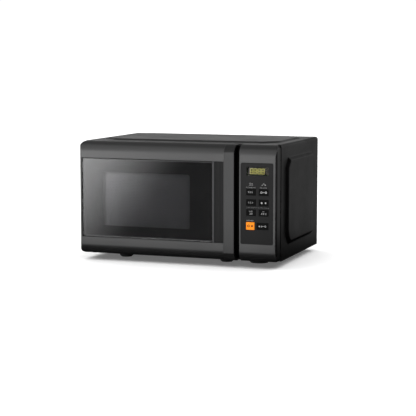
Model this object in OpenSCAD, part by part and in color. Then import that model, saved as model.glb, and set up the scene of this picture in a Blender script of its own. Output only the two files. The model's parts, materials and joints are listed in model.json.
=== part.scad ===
// Countertop microwave oven: steel cabinet, side-hinged door with a full-height pull handle, key panel,
// turntable and the working parts inside. Millimetres, +X right, +Y to the back, +Z up.
// The origin is the centre of the oven's footprint, on the surface it stands on.

/* [Cabinet] */
// Width of the steel cabinet between its flat sides
cabinet_w = 440; // [436:1:460]
// Height of the cabinet without its feet
cabinet_h = 241; // [238:1:260]
// Depth of the cabinet behind the door
cabinet_d = 280; // [278:1:310]
// How far the pressed panel stands out of each side
side_press = 6; // [3:0.5:8]
// How far the pressed panel stands out of the top
top_press = 3; // [2:0.5:5]
// Thickness of the steel sheet
sheet = 0.8; // [0.6:0.1:1]
// Height of the feet
foot_h = 14; // [10:1:18]

/* [Front] */
// Thickness of the door and of the key panel's housing
front_t = 32; // [31:0.5:34]
// Radius of the front's top and bottom edges, seen from the side
front_round = 22; // [18:1:24]
// How far the handle stands in front of the door
handle_proud = 4; // [2:0.5:6]
// Wall thickness of the plastic mouldings
wall = 3; // [2.5:0.1:3.2]

/* [Window] */
// Height of the window's lower edge above the cabinet's bottom
window_low = 37; // [34:1:40]
// Height of the window and of the key panel
window_h = 169; // [160:1:172]

/* [Turntable] */
// Diameter of the glass tray
tray_d = 245; // [230:1:250]
// Diameter of the circle on which the rollers run
track_d = 188; // [180:2:192]
// Radius of each roller
roller_r = 7; // [6:0.5:8]

/* [Keys] */
// How far a key travels
key_travel = 0.5; // [0.3:0.1:0.8]

/* [Hidden] */
$fn = 48;

spacer_d = 20;
total_d = handle_proud + front_t + cabinet_d + spacer_d;
half_w = cabinet_w / 2;

// Planes from front to back.
y_handle = -total_d / 2;
y_front = y_handle + handle_proud;
y_seam = y_front + front_t;
y_rear = y_seam + cabinet_d;
y_door_back = y_seam - 3;

// Planes from bottom to top.
z_base = foot_h;
z_top = z_base + cabinet_h;
window_z0 = z_base + window_low;
window_z1 = window_z0 + window_h;

// Door and key housing across the front.
door_x0 = -half_w + 1;
door_x1 = 138;
window_x0 = door_x0 + 5.5;
window_x1 = 106;
line_x0 = 81.5;
line_w = 3.6;
handle_x0 = 107;
handle_x1 = 130.5;
grip_x0 = 121;
grip_depth = 18;
fascia_x0 = door_x1 + 1.5;
fascia_x1 = half_w - 1;
outer_corner = [7, 9, 5];
square_corner = [0, 0, 0];

// Door pivot: the door's back corner is round about it.
pivot_r = 10;
pivot_x = door_x0 + pivot_r;
pivot_y = y_door_back - pivot_r;
pin_r = 2.5;
pin_fit = 0.08;
tab_low = z_base + 9;
tab_high = z_top - 12;
tab_t = 3;
tab_w = 7;

// Oven cavity, inside its walls.
cavity_x0 = -204;
cavity_x1 = 96;
cavity_z0 = z_base + 22;
cavity_z1 = z_top - 19;
cavity_back = y_rear - 18;
cavity_r = 6;
table_x = (cavity_x0 + cavity_x1) / 2;
table_y = (y_seam + cavity_back) / 2;

// Turntable heights.
roll_gap = 0.3;
roller_z = cavity_z0 + roll_gap + roller_r;
tray_z = roller_z + roller_r + roll_gap;
track_r = track_d / 2;
axle_r = 2;
shaft_r = 3;

// Key panel.
panel_x0 = 143.3;
panel_x1 = 212.8;
panel_y = y_front + 0.4;
panel_t = 2;
display_x0 = 155.7;
display_x1 = 201.6;
display_z0 = z_base + 179;
display_z1 = z_base + 196.5;
key_left_x = 165.3;
key_right_x = 192.3;
key_w = 20.5;
key_h = 13;
key_rows = [z_base + 145, z_base + 123.5, z_base + 103];
last_row = z_base + 75.5;
cancel_x = 164;
cancel_w = 18;
cancel_h = 15.6;
start_x = 190;
start_w = 25;
start_h = 14;
key_gap = 0.3;
board_y = y_front + 14;

// Component bay, to the right of the cavity.
fan_x = 160;
fan_z = z_base + 120;
fan_y = y_rear - 28;
fan_r = 46;
filter_z = z_top - 20;
magnetron_x0 = 123;
magnetron_z = z_base + 165;
magnetron_y = -5;
magnetron_can_w = 66;
transformer_x = 165;
transformer_y = -62;
transformer_z = z_base + 1;

// Latch: one sliding bar with two hooks, and the slots it passes through.
hook_x = 118;
hook_w = 6;
hook_low = z_base + 66;
hook_high = z_base + 182;
latch_travel = 4;
latch_y0 = pivot_y + 2.5;
latch_y1 = latch_y0 + 4;
spring_z0 = z_base + 192;
spring_z1 = z_base + 214;

// ---------- shapes that repeat ----------

module rect(x0, y0, x1, y1) translate([x0, y0]) square([x1 - x0, y1 - y0]);

// A square corner less its quarter circle: what a rounding takes off.
module corner_off(r) {
    if (r > 0)
        difference() {
            translate([-1, -1]) square(r + 1);
            translate([r, r]) circle(r);
        }
}

// Rectangle with a radius for each corner: lower left, lower right, upper right, upper left.
module round_rect(x0, y0, x1, y1, r) {
    difference() {
        rect(x0, y0, x1, y1);
        translate([x0, y0]) corner_off(r[0]);
        translate([x1, y0]) mirror([1, 0]) corner_off(r[1]);
        translate([x1, y1]) mirror([1, 0]) mirror([0, 1]) corner_off(r[2]);
        translate([x0, y1]) mirror([0, 1]) corner_off(r[3]);
    }
}

// Box from corner to corner.
module block(a, b) translate(a) cube(b - a);

// Extrudes an outline drawn in X and Z from y0 to y1.
module along_y(y0, y1) translate([0, y1, 0]) rotate([90, 0, 0]) linear_extrude(y1 - y0) children();

// Extrudes an outline drawn in Y and Z from x0 to x1.
module along_x(x0, x1) translate([x0, 0, 0]) rotate([90, 0, 90]) linear_extrude(x1 - x0) children();

// Cylinder along X or Y, from one plane to another.
module rod_x(x0, x1, y, z, r) translate([x0, y, z]) rotate([0, 90, 0]) cylinder(h = x1 - x0, r = r);
module rod_y(y0, y1, x, z, r) translate([x, y1, z]) rotate([90, 0, 0]) cylinder(h = y1 - y0, r = r);

// Octagon: a rectangle with its corners cut off.
function octagon(x0, y0, x1, y1, c) = [
    [x0 + c, y0], [x1 - c, y0], [x1, y0 + c], [x1, y1 - c],
    [x1 - c, y1], [x0 + c, y1], [x0, y1 - c], [x0, y0 + c]];

// Pressed panel: an octagon that narrows by slope as it rises by h. Its root lies 1 mm below zero.
module pressed(x0, y0, x1, y1, c, slope, h) {
    flare = slope / h;
    low = octagon(x0 - flare, y0 - flare, x1 + flare, y1 + flare, c + flare);
    high = octagon(x0 + slope, y0 + slope, x1 - slope, y1 - slope, c - slope / 4);
    n = len(low);
    polyhedron(
        points = concat([for (p = low) [p[0], p[1], -1]], [for (p = high) [p[0], p[1], h]]),
        faces = concat(
            [[for (i = [0:n - 1]) i]],
            [[for (i = [0:n - 1]) 2 * n - 1 - i]],
            [for (i = [0:n - 1]) [i, n + i, n + (i + 1) % n, (i + 1) % n]]));
}

// The front's rounded shape between two X planes. y is its flat face and inset its offset; left and
// right hold a side's radii: lower corner and upper corner in the front view, and front edge in plan.
module front_block(x0, x1, y, left, right, y_back, inset = 0) {
    r = front_round - inset;
    l = [for (v = left) max(v - inset, 0)];
    m = [for (v = right) max(v - inset, 0)];
    intersection() {
        along_x(x0 + inset, x1 - inset)
            round_rect(y + inset, z_base + inset, y_back + 30, z_top - inset, [r, 0, 0, r]);
        along_y(y - 1, y_back)
            round_rect(x0 + inset, z_base + inset, x1 - inset, z_top - inset, [l[0], m[0], m[1], l[1]]);
        translate([0, 0, z_base - 1]) linear_extrude(cabinet_h + 2)
            round_rect(x0 + inset, y + inset, x1 - inset, y_back + 1, [l[2], m[2], 0, 0]);
    }
}

// A row or grid of slots in the XZ plane, cut through y0 to y1.
module slots(x0, z0, columns, rows, step_x, step_z, w, h, y0, y1) {
    for (i = [0:columns - 1], j = [0:rows - 1])
        block([x0 + i * step_x, y0, z0 + j * step_z], [x0 + i * step_x + w, y1, z0 + j * step_z + h]);
}

// ---------- cabinet ----------

// Faces of the rear panel, which lies against the cabinet's rear flange.
rear_y1 = y_rear - sheet;
rear_y0 = rear_y1 - 1.2;
rear_bulge = 12;
gland_x = 185;
gland_z = z_base + 40;

module cabinet_outline(inset) {
    round_rect(-half_w + inset, z_base - 5, half_w - inset, z_top - inset, [0, 0, 6 - inset, 6 - inset]);
}

// The three pressed panels, moved inwards by depth.
module pressed_panels(depth) {
    y0 = y_front + 60;
    y1 = y_front + 279;
    for (side = [-1, 1])
        translate([side * (half_w - depth), 0, 0])
            mirror([side < 0 ? 1 : 0, 0, 0]) rotate([90, 0, 90])
                pressed(y0, z_base + 30, y1, z_base + 213, 20, 8, side_press);
    translate([0, 0, z_top - depth]) pressed(-202, y0, 202, y1, 34, 9, top_press);
}

module outer_cabinet() {
    flange = 10;
    color("dimgray") difference() {
        union() {
            along_y(y_seam, y_rear) cabinet_outline(0);
            pressed_panels(0);
        }
        along_y(y_seam - 1, y_rear - sheet) cabinet_outline(sheet);
        along_y(y_rear - 2, y_rear + 1)
            rect(-half_w + flange, z_base - 6, half_w - flange, z_top - flange);
        pressed_panels(sheet);
        block([-half_w - 10, y_seam - 1, z_base - 10], [half_w + 10, y_rear + 1, z_base]);
        for (side = [-1, 1], z = [z_base + 20, z_top - 60])
            rod_y(y_rear - 3, y_rear + 1, side * (half_w - 5), z, 1.8);
    }
}

module base_plate() {
    x1 = half_w - sheet - 0.2;
    y0 = y_seam + sheet;
    y1 = rear_y0;
    lip = tab_low - z_base;
    color("silver") difference() {
        block([-x1, y0, z_base], [x1, y1, z_base + lip]);
        block([-x1 + 1, y0 + 1, z_base + 1], [x1 - 1, y1 - 1, z_base + lip + 1]);
        for (i = [0:9])
            block([112 + i * 9, 20, z_base - 1], [116 + i * 9, 70, z_base + 2]);
        for (i = [0:7])
            block([-195 + i * 9, -40, z_base - 1], [-191 + i * 9, 5, z_base + 2]);
    }
}

module rear_panel() {
    x1 = half_w - sheet - 0.2;
    skin = 1.2;
    color("gray") difference() {
        union() {
            along_y(rear_y0, rear_y1) round_rect(-x1, z_base + 0.2, x1, z_top - sheet - 0.2, [0, 0, 5, 5]);
            along_y(rear_y0, y_rear + rear_bulge)
                round_rect(-170, z_base + 40, 60, z_top - 40, [12, 12, 12, 12]);
        }
        along_y(rear_y0 - 1, y_rear + rear_bulge - skin)
            round_rect(-170 + skin, z_base + 40 + skin, 60 - skin, z_top - 40 - skin, [11, 11, 11, 11]);
        slots(115, z_base + 78, 9, 5, 10.5, 17.5, 4, 12, rear_y0 - 1, rear_y1 + 1);
        slots(-160, z_base + 60, 8, 2, 26, 12, 18, 4, y_rear, y_rear + rear_bulge + 1);
        rod_y(rear_y0 - 1, rear_y1 + 1, gland_x, gland_z, 7.5);
        for (side = [-1, 1], z = [z_base + 20, z_top - 60])
            rod_y(rear_y0 - 1, rear_y1 + 1, side * (half_w - 5), z, 1.6);
    }
}

module wall_spacers() {
    color("black") for (x = [-140, 30])
        difference() {
            along_y(y_rear + rear_bulge, y_rear + spacer_d)
                round_rect(x - 20, z_top - 70, x + 20, z_top - 50, [4, 4, 4, 4]);
            along_y(y_rear + rear_bulge - 1, y_rear + spacer_d - 2)
                round_rect(x - 18, z_top - 68, x + 18, z_top - 52, [3, 3, 3, 3]);
        }
}

feet_at = [[-146, y_front + 81], [84, y_front + 86], [-175, y_rear - 35], [180, y_rear - 35]];
wide_foot_at = [153, y_front + 97];
pad_t = 2;

module foot(r_top, r_low) {
    translate([0, 0, pad_t]) cylinder(h = foot_h - pad_t, r1 = r_low, r2 = r_top);
}

module feet() {
    color("black") {
        for (p = feet_at) translate(p) foot(18, 14);
        translate(wide_foot_at) foot(24, 21);
    }
}

module foot_pads() {
    color("dimgray") {
        for (p = feet_at) translate(p) cylinder(h = pad_t, r = 12);
        translate(wide_foot_at) cylinder(h = pad_t, r = 19);
    }
}

module cabinet_screws() {
    color("darkgray") for (side = [-1, 1], z = [z_base + 20, z_top - 60])
        difference() {
            union() {
                rod_y(y_rear, y_rear + 1.8, side * (half_w - 5), z, 3.2);
                rod_y(y_rear - 8, y_rear + 0.5, side * (half_w - 5), z, 1.5);
            }
            for (a = [0, 90])
                translate([side * (half_w - 5), y_rear + 1.5, z]) rotate([0, a, 0]) cube([4, 2, 0.8], center = true);
        }
}

// ---------- oven cavity ----------

module cavity_outline(grow) {
    round_rect(cavity_x0 - grow, cavity_z0 - grow, cavity_x1 + grow, cavity_z1 + grow,
        [cavity_r, cavity_r, cavity_r, cavity_r]);
}

// Five flat panels. A hair's seam between them keeps each a solid of its own, as welded sheets are.
module cavity_shell() {
    y0 = y_seam + sheet;
    y1 = cavity_back + sheet;
    z0 = cavity_z0 - sheet;
    z1 = cavity_z1 + sheet;
    seam = 0.02;
    color("lightgray") {
        difference() {
            block([cavity_x0 - sheet, y0, z0], [cavity_x0, y1, z1]);
            for (i = [0:6], j = [0:2])
                rod_x(cavity_x0 - 2, cavity_x0 + 1, 66 + i * 8, z_base + 182 + j * 8, 2);
        }
        difference() {
            block([cavity_x1, y0, z0], [cavity_x1 + sheet, y1, z1]);
            block([cavity_x1 - 1, magnetron_y - 32, z_base + 108], [cavity_x1 + 2, magnetron_y + 32, z_base + 146]);
            for (i = [0:4], j = [0:2])
                rod_x(cavity_x1 - 1, cavity_x1 + 2, -92 + i * 7, z_base + 189 + j * 7, 2);
        }
        difference() {
            block([cavity_x0 + seam, y0, z0], [cavity_x1 - seam, y1, cavity_z0]);
            translate([table_x, table_y, cavity_z0 - 2]) cylinder(h = 4, r = 6);
        }
        block([cavity_x0 + seam, y0, cavity_z1], [cavity_x1 - seam, y1, z1]);
        block([cavity_x0 + seam, cavity_back, cavity_z0 + seam], [cavity_x1 - seam, y1, cavity_z1 - seam]);
    }
}

module front_frame() {
    color("silver") difference() {
        along_y(y_seam, y_seam + sheet)
            round_rect(-half_w + sheet + 0.2, z_base, fascia_x0 - 0.5, z_top - sheet - 0.2, [0, 0, 0, 5]);
        along_y(y_seam - 1, y_seam + 2) cavity_outline(0);
        for (z = [hook_low, hook_high])
            block([hook_x - 6, y_seam - 1, z - 10], [hook_x + 7, y_seam + 2, z + 12]);
        for (z = [tab_low, tab_high])
            block([pivot_x - 4.2, y_seam - 1, z - 0.4], [pivot_x + 4.2, y_seam + 2, z + tab_t + 0.4]);
    }
}

// Each bracket is a plate behind the front frame, a tab through it and a pin that the door turns on.
module hinge_bracket(z, up) {
    plate_z0 = up ? z : z - 22;
    block([pivot_x - 8.3, y_seam + sheet, plate_z0],
        [pivot_x + 3.8, y_seam + sheet + 1.6, plate_z0 + 22 + tab_t]);
    block([pivot_x - tab_w / 2, pivot_y, z], [pivot_x + tab_w / 2, y_seam + sheet + 1.6, z + tab_t]);
    translate([pivot_x, pivot_y, z]) cylinder(h = tab_t, r = tab_w / 2);
    translate([pivot_x, pivot_y, up ? z + tab_t - 0.5 : z - 12.5]) cylinder(h = 13, r = pin_r);
}

module hinge_brackets() {
    color("silver") {
        hinge_bracket(tab_low, true);
        hinge_bracket(tab_high, false);
    }
}

module mica_cover() {
    color("tan")
        block([cavity_x1 - 0.6, magnetron_y - 45, z_base + 100], [cavity_x1, magnetron_y + 45, z_base + 154]);
}

// ---------- microwave source ----------

module waveguide() {
    x0 = cavity_x1 + sheet;
    x1 = magnetron_x0;
    z1 = magnetron_z + 28;
    color("silver") difference() {
        block([x0, magnetron_y - 42, z_base + 100], [x1, magnetron_y + 42, z1]);
        block([x0 - 1, magnetron_y - 41, z_base + 101], [x1 - 1, magnetron_y + 41, z1 - 1]);
        rod_x(x1 - 2, x1 + 1, magnetron_y, magnetron_z, 13);
    }
}

core_r = 17;

module magnetron_core() {
    color("firebrick") {
        rod_x(magnetron_x0 - 20, magnetron_x0 + 1, magnetron_y, magnetron_z, 8);
        rod_x(magnetron_x0, magnetron_x0 + magnetron_can_w, magnetron_y, magnetron_z, core_r);
    }
}

fin_count = 9;
fin_step = 4.4;

module magnetron_fins() {
    color("silver") for (i = [0:fin_count - 1])
        difference() {
            block([magnetron_x0 + 12 + i * fin_step, magnetron_y - 38, magnetron_z - 26],
                [magnetron_x0 + 12.8 + i * fin_step, magnetron_y + 38, magnetron_z + 26]);
            rod_x(magnetron_x0 + 11 + i * fin_step, magnetron_x0 + 14 + i * fin_step,
                magnetron_y, magnetron_z, core_r + 0.1);
        }
}

module magnetron_yoke() {
    x0 = magnetron_x0;
    x1 = magnetron_x0 + magnetron_can_w;
    color("darkgray") difference() {
        block([x0, magnetron_y - 40, magnetron_z - 28], [x1, magnetron_y + 40, magnetron_z + 28]);
        block([x0 + 1.3, magnetron_y - 41, magnetron_z - 26.5], [x1 - 1.3, magnetron_y + 41, magnetron_z + 26.5]);
        rod_x(x0 - 1, x0 + 2, magnetron_y, magnetron_z, core_r + 0.1);
        rod_x(x1 - 2, x1 + 1, magnetron_y, magnetron_z, core_r + 0.1);
    }
}

module magnetron_filter_box() {
    x0 = magnetron_x0 + magnetron_can_w;
    color("gainsboro") difference() {
        block([x0, magnetron_y - 30, magnetron_z - 24], [x0 + 22, magnetron_y + 30, magnetron_z + 24]);
        block([x0 + 1, magnetron_y - 29, magnetron_z - 23], [x0 + 21, magnetron_y + 29, magnetron_z + 23]);
    }
}

// ---------- high-voltage supply ----------

core_w = 88;
core_d = 62;
core_h = 76;
limb = 14;

module transformer_core() {
    x0 = transformer_x - core_w / 2;
    y0 = transformer_y - core_d / 2;
    z0 = transformer_z;
    gap_h = core_h - 2 * limb;
    color("slategray") difference() {
        block([x0, y0, z0], [x0 + core_w, y0 + core_d, z0 + core_h]);
        for (side = [0, 1])
            translate([x0 + limb + side * (core_w / 2 - limb / 2), y0 - 1, z0 + limb])
                cube([core_w / 2 - 1.5 * limb, core_d + 2, gap_h]);
    }
}

// A winding round the middle limb, as a square ring.
module winding(z0, z1, out) {
    x_in = limb / 2 + 0.3;
    y_in = core_d / 2 + 0.3;
    translate([transformer_x, transformer_y, 0]) difference() {
        block([-x_in - out, -y_in - out, z0], [x_in + out, y_in + out, z1]);
        block([-x_in, -y_in, z0 - 1], [x_in, y_in, z1 + 1]);
    }
}

module transformer_coils() {
    color("peru") winding(transformer_z + limb + 1, transformer_z + limb + 20, 21);
    color("darkorange") winding(transformer_z + limb + 25, transformer_z + core_h - limb - 1, 21);
}

module capacitor() {
    cx = 150;
    cy = 45;
    z0 = z_base + 6;
    color("silver") {
        translate([0, 0, z0]) linear_extrude(70)
            union() {
                rect(cx - 9, cy - 17, cx + 9, cy + 17);
                for (side = [-1, 1]) translate([cx + side * 9, cy]) intersection() {
                    circle(17);
                    translate([side * 9, 0]) square([18, 34], center = true);
                }
            }
        for (x = [cx - 8, cx + 8]) translate([x, cy, z0 + 69]) cylinder(h = 9, r = 3);
        block([cx - 30, cy - 6, z_base + 1], [cx + 30, cy + 6, z0 + 0.5]);
    }
}

// ---------- cooling ----------

module fan_shroud() {
    y0 = fan_y + 3;
    color("dimgray") {
        difference() {
            block([cavity_x1 + sheet, y0, z_base + 48], [half_w - sheet - 0.5, y0 + 1.5, filter_z + 6]);
            rod_y(y0 - 1, y0 + 3, fan_x, fan_z, fan_r + 3);
        }
        difference() {
            rod_y(y0 - 12, y0 + 0.5, fan_x, fan_z, fan_r + 5);
            rod_y(y0 - 13, y0 + 1, fan_x, fan_z, fan_r + 3);
        }
        for (side = [-1, 1])
            block([fan_x + side * (fan_r + 6) - 3, fan_y - 30, fan_z - 6],
                [fan_x + side * (fan_r + 6) + 3, y0 + 0.5, fan_z + 6]);
        block([120, y0 - 10, filter_z - 2], [192, y0 + 0.5, filter_z]);
    }
}

module fan_motor() {
    color("darkgoldenrod") difference() {
        union() {
            block([fan_x - fan_r - 3, fan_y - 29, fan_z - 5], [fan_x + fan_r + 3, fan_y - 27, fan_z + 5]);
            block([fan_x - 30, fan_y - 27.5, fan_z - 24], [fan_x + 30, fan_y - 14, fan_z + 24]);
            rod_y(fan_y - 36, fan_y - 8, fan_x, fan_z, 9);
        }
        rod_y(fan_y - 33, fan_y - 7, fan_x, fan_z, 2.08);
    }
}

blade_count = 6;

module fan_blade() {
    color("whitesmoke") {
        rod_y(fan_y - 32, fan_y + 2, fan_x, fan_z, 2);
        rod_y(fan_y - 6, fan_y + 4, fan_x, fan_z, 11);
        intersection() {
            rod_y(fan_y - 8, fan_y + 8, fan_x, fan_z, fan_r);
            translate([fan_x, fan_y - 0.5, fan_z]) for (i = [0:blade_count - 1])
                rotate([0, i * 360 / blade_count, 0]) translate([9, 0, 0]) rotate([28, 0, 0])
                    translate([0, -0.7, -12]) cube([fan_r, 1.4, 24]);
        }
    }
}

// ---------- lamp ----------

lamp_x1 = cavity_x1 + 38;
lamp_y = -78;
lamp_z = z_base + 196;

module lamp_holder() {
    color("ivory") difference() {
        block([cavity_x1 + sheet, lamp_y - 19, lamp_z - 14], [lamp_x1 + 2, lamp_y + 19, lamp_z + 14]);
        block([cavity_x1, lamp_y - 17, lamp_z - 12], [lamp_x1, lamp_y + 17, lamp_z + 12]);
    }
}

module lamp_bulb() {
    color("lightyellow") translate([lamp_x1, lamp_y, lamp_z]) rotate([0, -90, 0]) rotate_extrude()
        polygon([[0, 0], [7, 0], [7, 10], [11, 18], [11, 26], [7, 33], [0, 35]]);
}

// ---------- turntable ----------

module turntable_motor() {
    z1 = cavity_z0 - sheet;
    color("silver") difference() {
        union() {
            translate([table_x, table_y, z1 - 16]) cylinder(h = 16, r = 24.5);
            for (side = [-1, 1])
                translate([table_x + side * 30, table_y, z1 - 1.2]) cylinder(h = 1.2, r = 5);
            block([table_x - 30, table_y - 5, z1 - 1.2], [table_x + 30, table_y + 5, z1]);
        }
        translate([table_x, table_y, z1 - 12]) cylinder(h = 20, r = shaft_r + pin_fit);
    }
}

module drive_coupler() {
    color("white") translate([table_x, table_y, 0]) {
        translate([0, 0, cavity_z0 - sheet - 11]) cylinder(h = 14, r = shaft_r);
        translate([0, 0, cavity_z0 + 1]) cylinder(h = tray_z - cavity_z0 - 2, r = 7.5);
        for (i = [0:2])
            rotate([0, 0, i * 120]) block([0, -3.5, tray_z - 6.5], [13, 3.5, tray_z - 0.3]);
    }
}

module roller_ring() {
    ring_r = track_r - 8;
    color("white") translate([table_x, table_y, roller_z]) {
        difference() {
            translate([0, 0, -3]) cylinder(h = 6, r = ring_r);
            translate([0, 0, -4]) cylinder(h = 8, r = ring_r - 5);
        }
        for (i = [0:2])
            rotate([0, 0, i * 120]) {
                rod_x(ring_r - 1, track_r + 5, 0, 0, axle_r);
                rod_x(track_r + 4.7, track_r + 6, 0, 0, 3.4);
            }
    }
}

module roller(i) {
    color("whitesmoke") translate([table_x, table_y, roller_z]) rotate([0, 0, i * 120])
        difference() {
            union() {
                rod_x(track_r - 3, track_r + 3, 0, 0, roller_r);
                rod_x(track_r - 6, track_r + 4.3, 0, 0, 4);
            }
            rod_x(track_r - 7, track_r + 6, 0, 0, axle_r + pin_fit);
        }
}

module glass_tray() {
    r = tray_d / 2;
    t = 4.5;
    color("lightcyan") translate([table_x, table_y, tray_z]) {
        rotate_extrude() polygon([[0, 0], [r - 18, 0], [r - 10, 2.4], [r - 3, 7.5], [r, 11.5], [r, 13],
            [r - 1.6, 14], [r - 4, 12], [r - 12, 6.5], [r - 20, t], [0, t]]);
        difference() {
            translate([0, 0, -5]) cylinder(h = 5.5, r = 18);
            translate([0, 0, -6]) cylinder(h = 6, r = 15);
        }
        for (i = [0:2])
            rotate([0, 0, 60 + i * 120]) block([10, -3.6, -5], [16, 3.6, 0.5]);
    }
}

// ---------- latch and wiring ----------

module latch_holder() {
    x0 = hook_x + 10;
    y0 = y_seam + sheet;
    color("ivory") {
        block([x0, y0, hook_low - 22], [x0 + 3, y0 + 34, hook_high + 24]);
        for (z = [hook_low, hook_high]) {
            block([hook_x - 8, y0, z - 18], [x0 + 0.5, y0 + 30, z - 11]);
            block([hook_x - 8, y0, z + 15], [x0 + 0.5, y0 + 30, z + 18]);
        }
    }
}

module interlock_switches() {
    y0 = y_seam + 18;
    color("saddlebrown") for (z = [hook_low - 34, hook_low + 24, hook_high - 40])
        block([hook_x - 7, y0, z], [hook_x + 10, y0 + 10, z + 16]);
}

module noise_filter_board() {
    y0 = fan_y - 47;
    color("olivedrab") {
        block([112, y0, filter_z], [200, y0 + 50, filter_z + 1.6]);
        translate([135, y0 + 20, filter_z + 1.5]) cylinder(h = 13, r = 11);
        block([160, y0 + 10, filter_z + 1.5], [180, y0 + 30, filter_z + 12]);
        rod_x(150, 176, y0 + 42, filter_z + 5.5, 3);
        for (x = [150, 172]) block([x, y0 + 40, filter_z + 1.5], [x + 4, y0 + 44, filter_z + 5]);
    }
}

module cord_gland() {
    color("black") difference() {
        union() {
            rod_y(rear_y0 - 6, rear_y1 + 4, gland_x, gland_z, 7.4);
            rod_y(rear_y1, rear_y1 + 4, gland_x, gland_z, 10);
            rod_y(rear_y0 - 3, rear_y0, gland_x, gland_z, 9.5);
        }
        rod_y(rear_y0 - 7, rear_y1 + 5, gland_x, gland_z, 3.6);
    }
}

// ---------- key panel and its housing ----------

module control_fascia() {
    ledge = 2.7;
    color("dimgray") difference() {
        union() {
            difference() {
                front_block(fascia_x0, fascia_x1, y_front, [0, 0, 1.5], outer_corner, y_seam);
                front_block(fascia_x0, fascia_x1, y_front, square_corner, outer_corner, y_seam + 1, wall);
            }
            for (x = [fascia_x0 + 8, fascia_x1 - 8], z = [window_z0 + 12, window_z1 - 8])
                rod_y(y_front + 2, board_y, x, z, 3);
        }
        along_y(y_front - 1, panel_y + panel_t)
            round_rect(panel_x0, window_z0 + 1, panel_x1, window_z1 - 1, [3, 3, 3, 3]);
        along_y(y_front - 1, y_front + wall + 0.1)
            rect(panel_x0 + ledge, window_z0 + 1 + ledge, panel_x1 - ledge, window_z1 - 1 - ledge);
    }
}

module key_hole(x, z, w, h) {
    block([x - w / 2 - key_gap, panel_y - 1, z - h / 2 - key_gap],
        [x + w / 2 + key_gap, panel_y + panel_t + 1, z + h / 2 + key_gap]);
}

module key_panel() {
    fit = 0.15;
    color("darkslategray") difference() {
        along_y(panel_y, panel_y + panel_t)
            round_rect(panel_x0 + fit, window_z0 + 1 + fit, panel_x1 - fit, window_z1 - 1 - fit,
                [3, 3, 3, 3]);
        for (z = key_rows, x = [key_left_x, key_right_x]) key_hole(x, z, key_w, key_h);
        key_hole(cancel_x, last_row, cancel_w, cancel_h);
        key_hole(start_x, last_row, start_w, start_h);
        block([display_x0, panel_y - 1, display_z0], [display_x1, panel_y + panel_t + 1, display_z1]);
    }
}

module display_window() {
    color("black") block([display_x0 + 0.1, panel_y, display_z0 + 0.1],
        [display_x1 - 0.1, panel_y + 4, display_z1 - 0.1]);
}

module display_module() {
    color("gray") block([display_x0 + 1, panel_y + 4, display_z0 + 1],
        [display_x1 - 1, board_y, display_z1 - 1]);
}

module control_board() {
    color("green") difference() {
        block([fascia_x0 + 4, board_y, window_z0 + 6], [fascia_x1 - 4, board_y + 1.6, window_z1 - 2]);
        for (x = [fascia_x0 + 8, fascia_x1 - 8], z = [window_z0 + 12, window_z1 - 8])
            rod_y(board_y - 1, board_y + 3, x, z, 1.6);
    }
}

// Top of the switch under each key, one key travel and a little more behind the key's stem.
switch_y = panel_y + panel_t + 1.6 + key_travel + 0.4;

module tact_switches() {
    color("darkgray") {
        for (z = concat(key_rows, [last_row]), side = [0, 1]) {
            x = z == last_row ? (side == 0 ? cancel_x : start_x) : (side == 0 ? key_left_x : key_right_x);
            block([x - 3, switch_y + 1.2, z - 3], [x + 3, board_y, z + 3]);
            rod_y(switch_y, switch_y + 1.4, x, z, 1.7);
        }
    }
}

// A key: its cap stands just proud of the panel, a rim behind the panel keeps it in, a stem presses.
module key(x, z, w, h, tone) {
    rim = 1.2;
    color(tone) {
        along_y(panel_y - 0.4, panel_y + panel_t + 0.3)
            round_rect(x - w / 2, z - h / 2, x + w / 2, z + h / 2, [0.8, 0.8, 0.8, 0.8]);
        block([x - w / 2 - rim, panel_y + panel_t + 0.1, z - h / 2 - rim],
            [x + w / 2 + rim, panel_y + panel_t + 0.9, z + h / 2 + rim]);
        rod_y(panel_y + panel_t + 0.5, panel_y + panel_t + 1.6, x, z, 2);
    }
}

// ---------- door ----------

module door_blank(inset = 0) {
    front_block(door_x0, grip_x0, y_front, outer_corner, square_corner, y_door_back, inset);
}

// The part of the door behind the finger groove, set back from the face.
module grip_blank(inset = 0) {
    front_block(grip_x0 - 2 * wall, door_x1, y_front + grip_depth, square_corner, square_corner,
        y_door_back, inset);
}

// What rounds the door's back corner about the pivot.
module pivot_round() {
    translate([0, 0, z_base - 1]) linear_extrude(cabinet_h + 2)
        difference() {
            rect(door_x0 - 1, pivot_y, pivot_x, y_door_back + 1);
            translate([pivot_x, pivot_y]) circle(pivot_r);
        }
}

module window_rect(grow) {
    rect(window_x0 - grow, window_z0 - grow, window_x1 + grow, window_z1 + grow);
}

module hinge_boss(z0, z1) {
    block([door_x0 + wall - 0.5, pivot_y - 7, z0], [pivot_x + 6.5, pivot_y + 6.5, z1]);
}

// A hooked rib that keeps the latch bar against the door.
module latch_guide(z0, z1) {
    block([hook_x + 5.4, pivot_y + 1, z0], [hook_x + 8, y_door_back - 1.4, z1]);
    block([hook_x + 2, latch_y1 + 0.3, z0], [hook_x + 8, y_door_back - 1.4, z1]);
}

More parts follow.
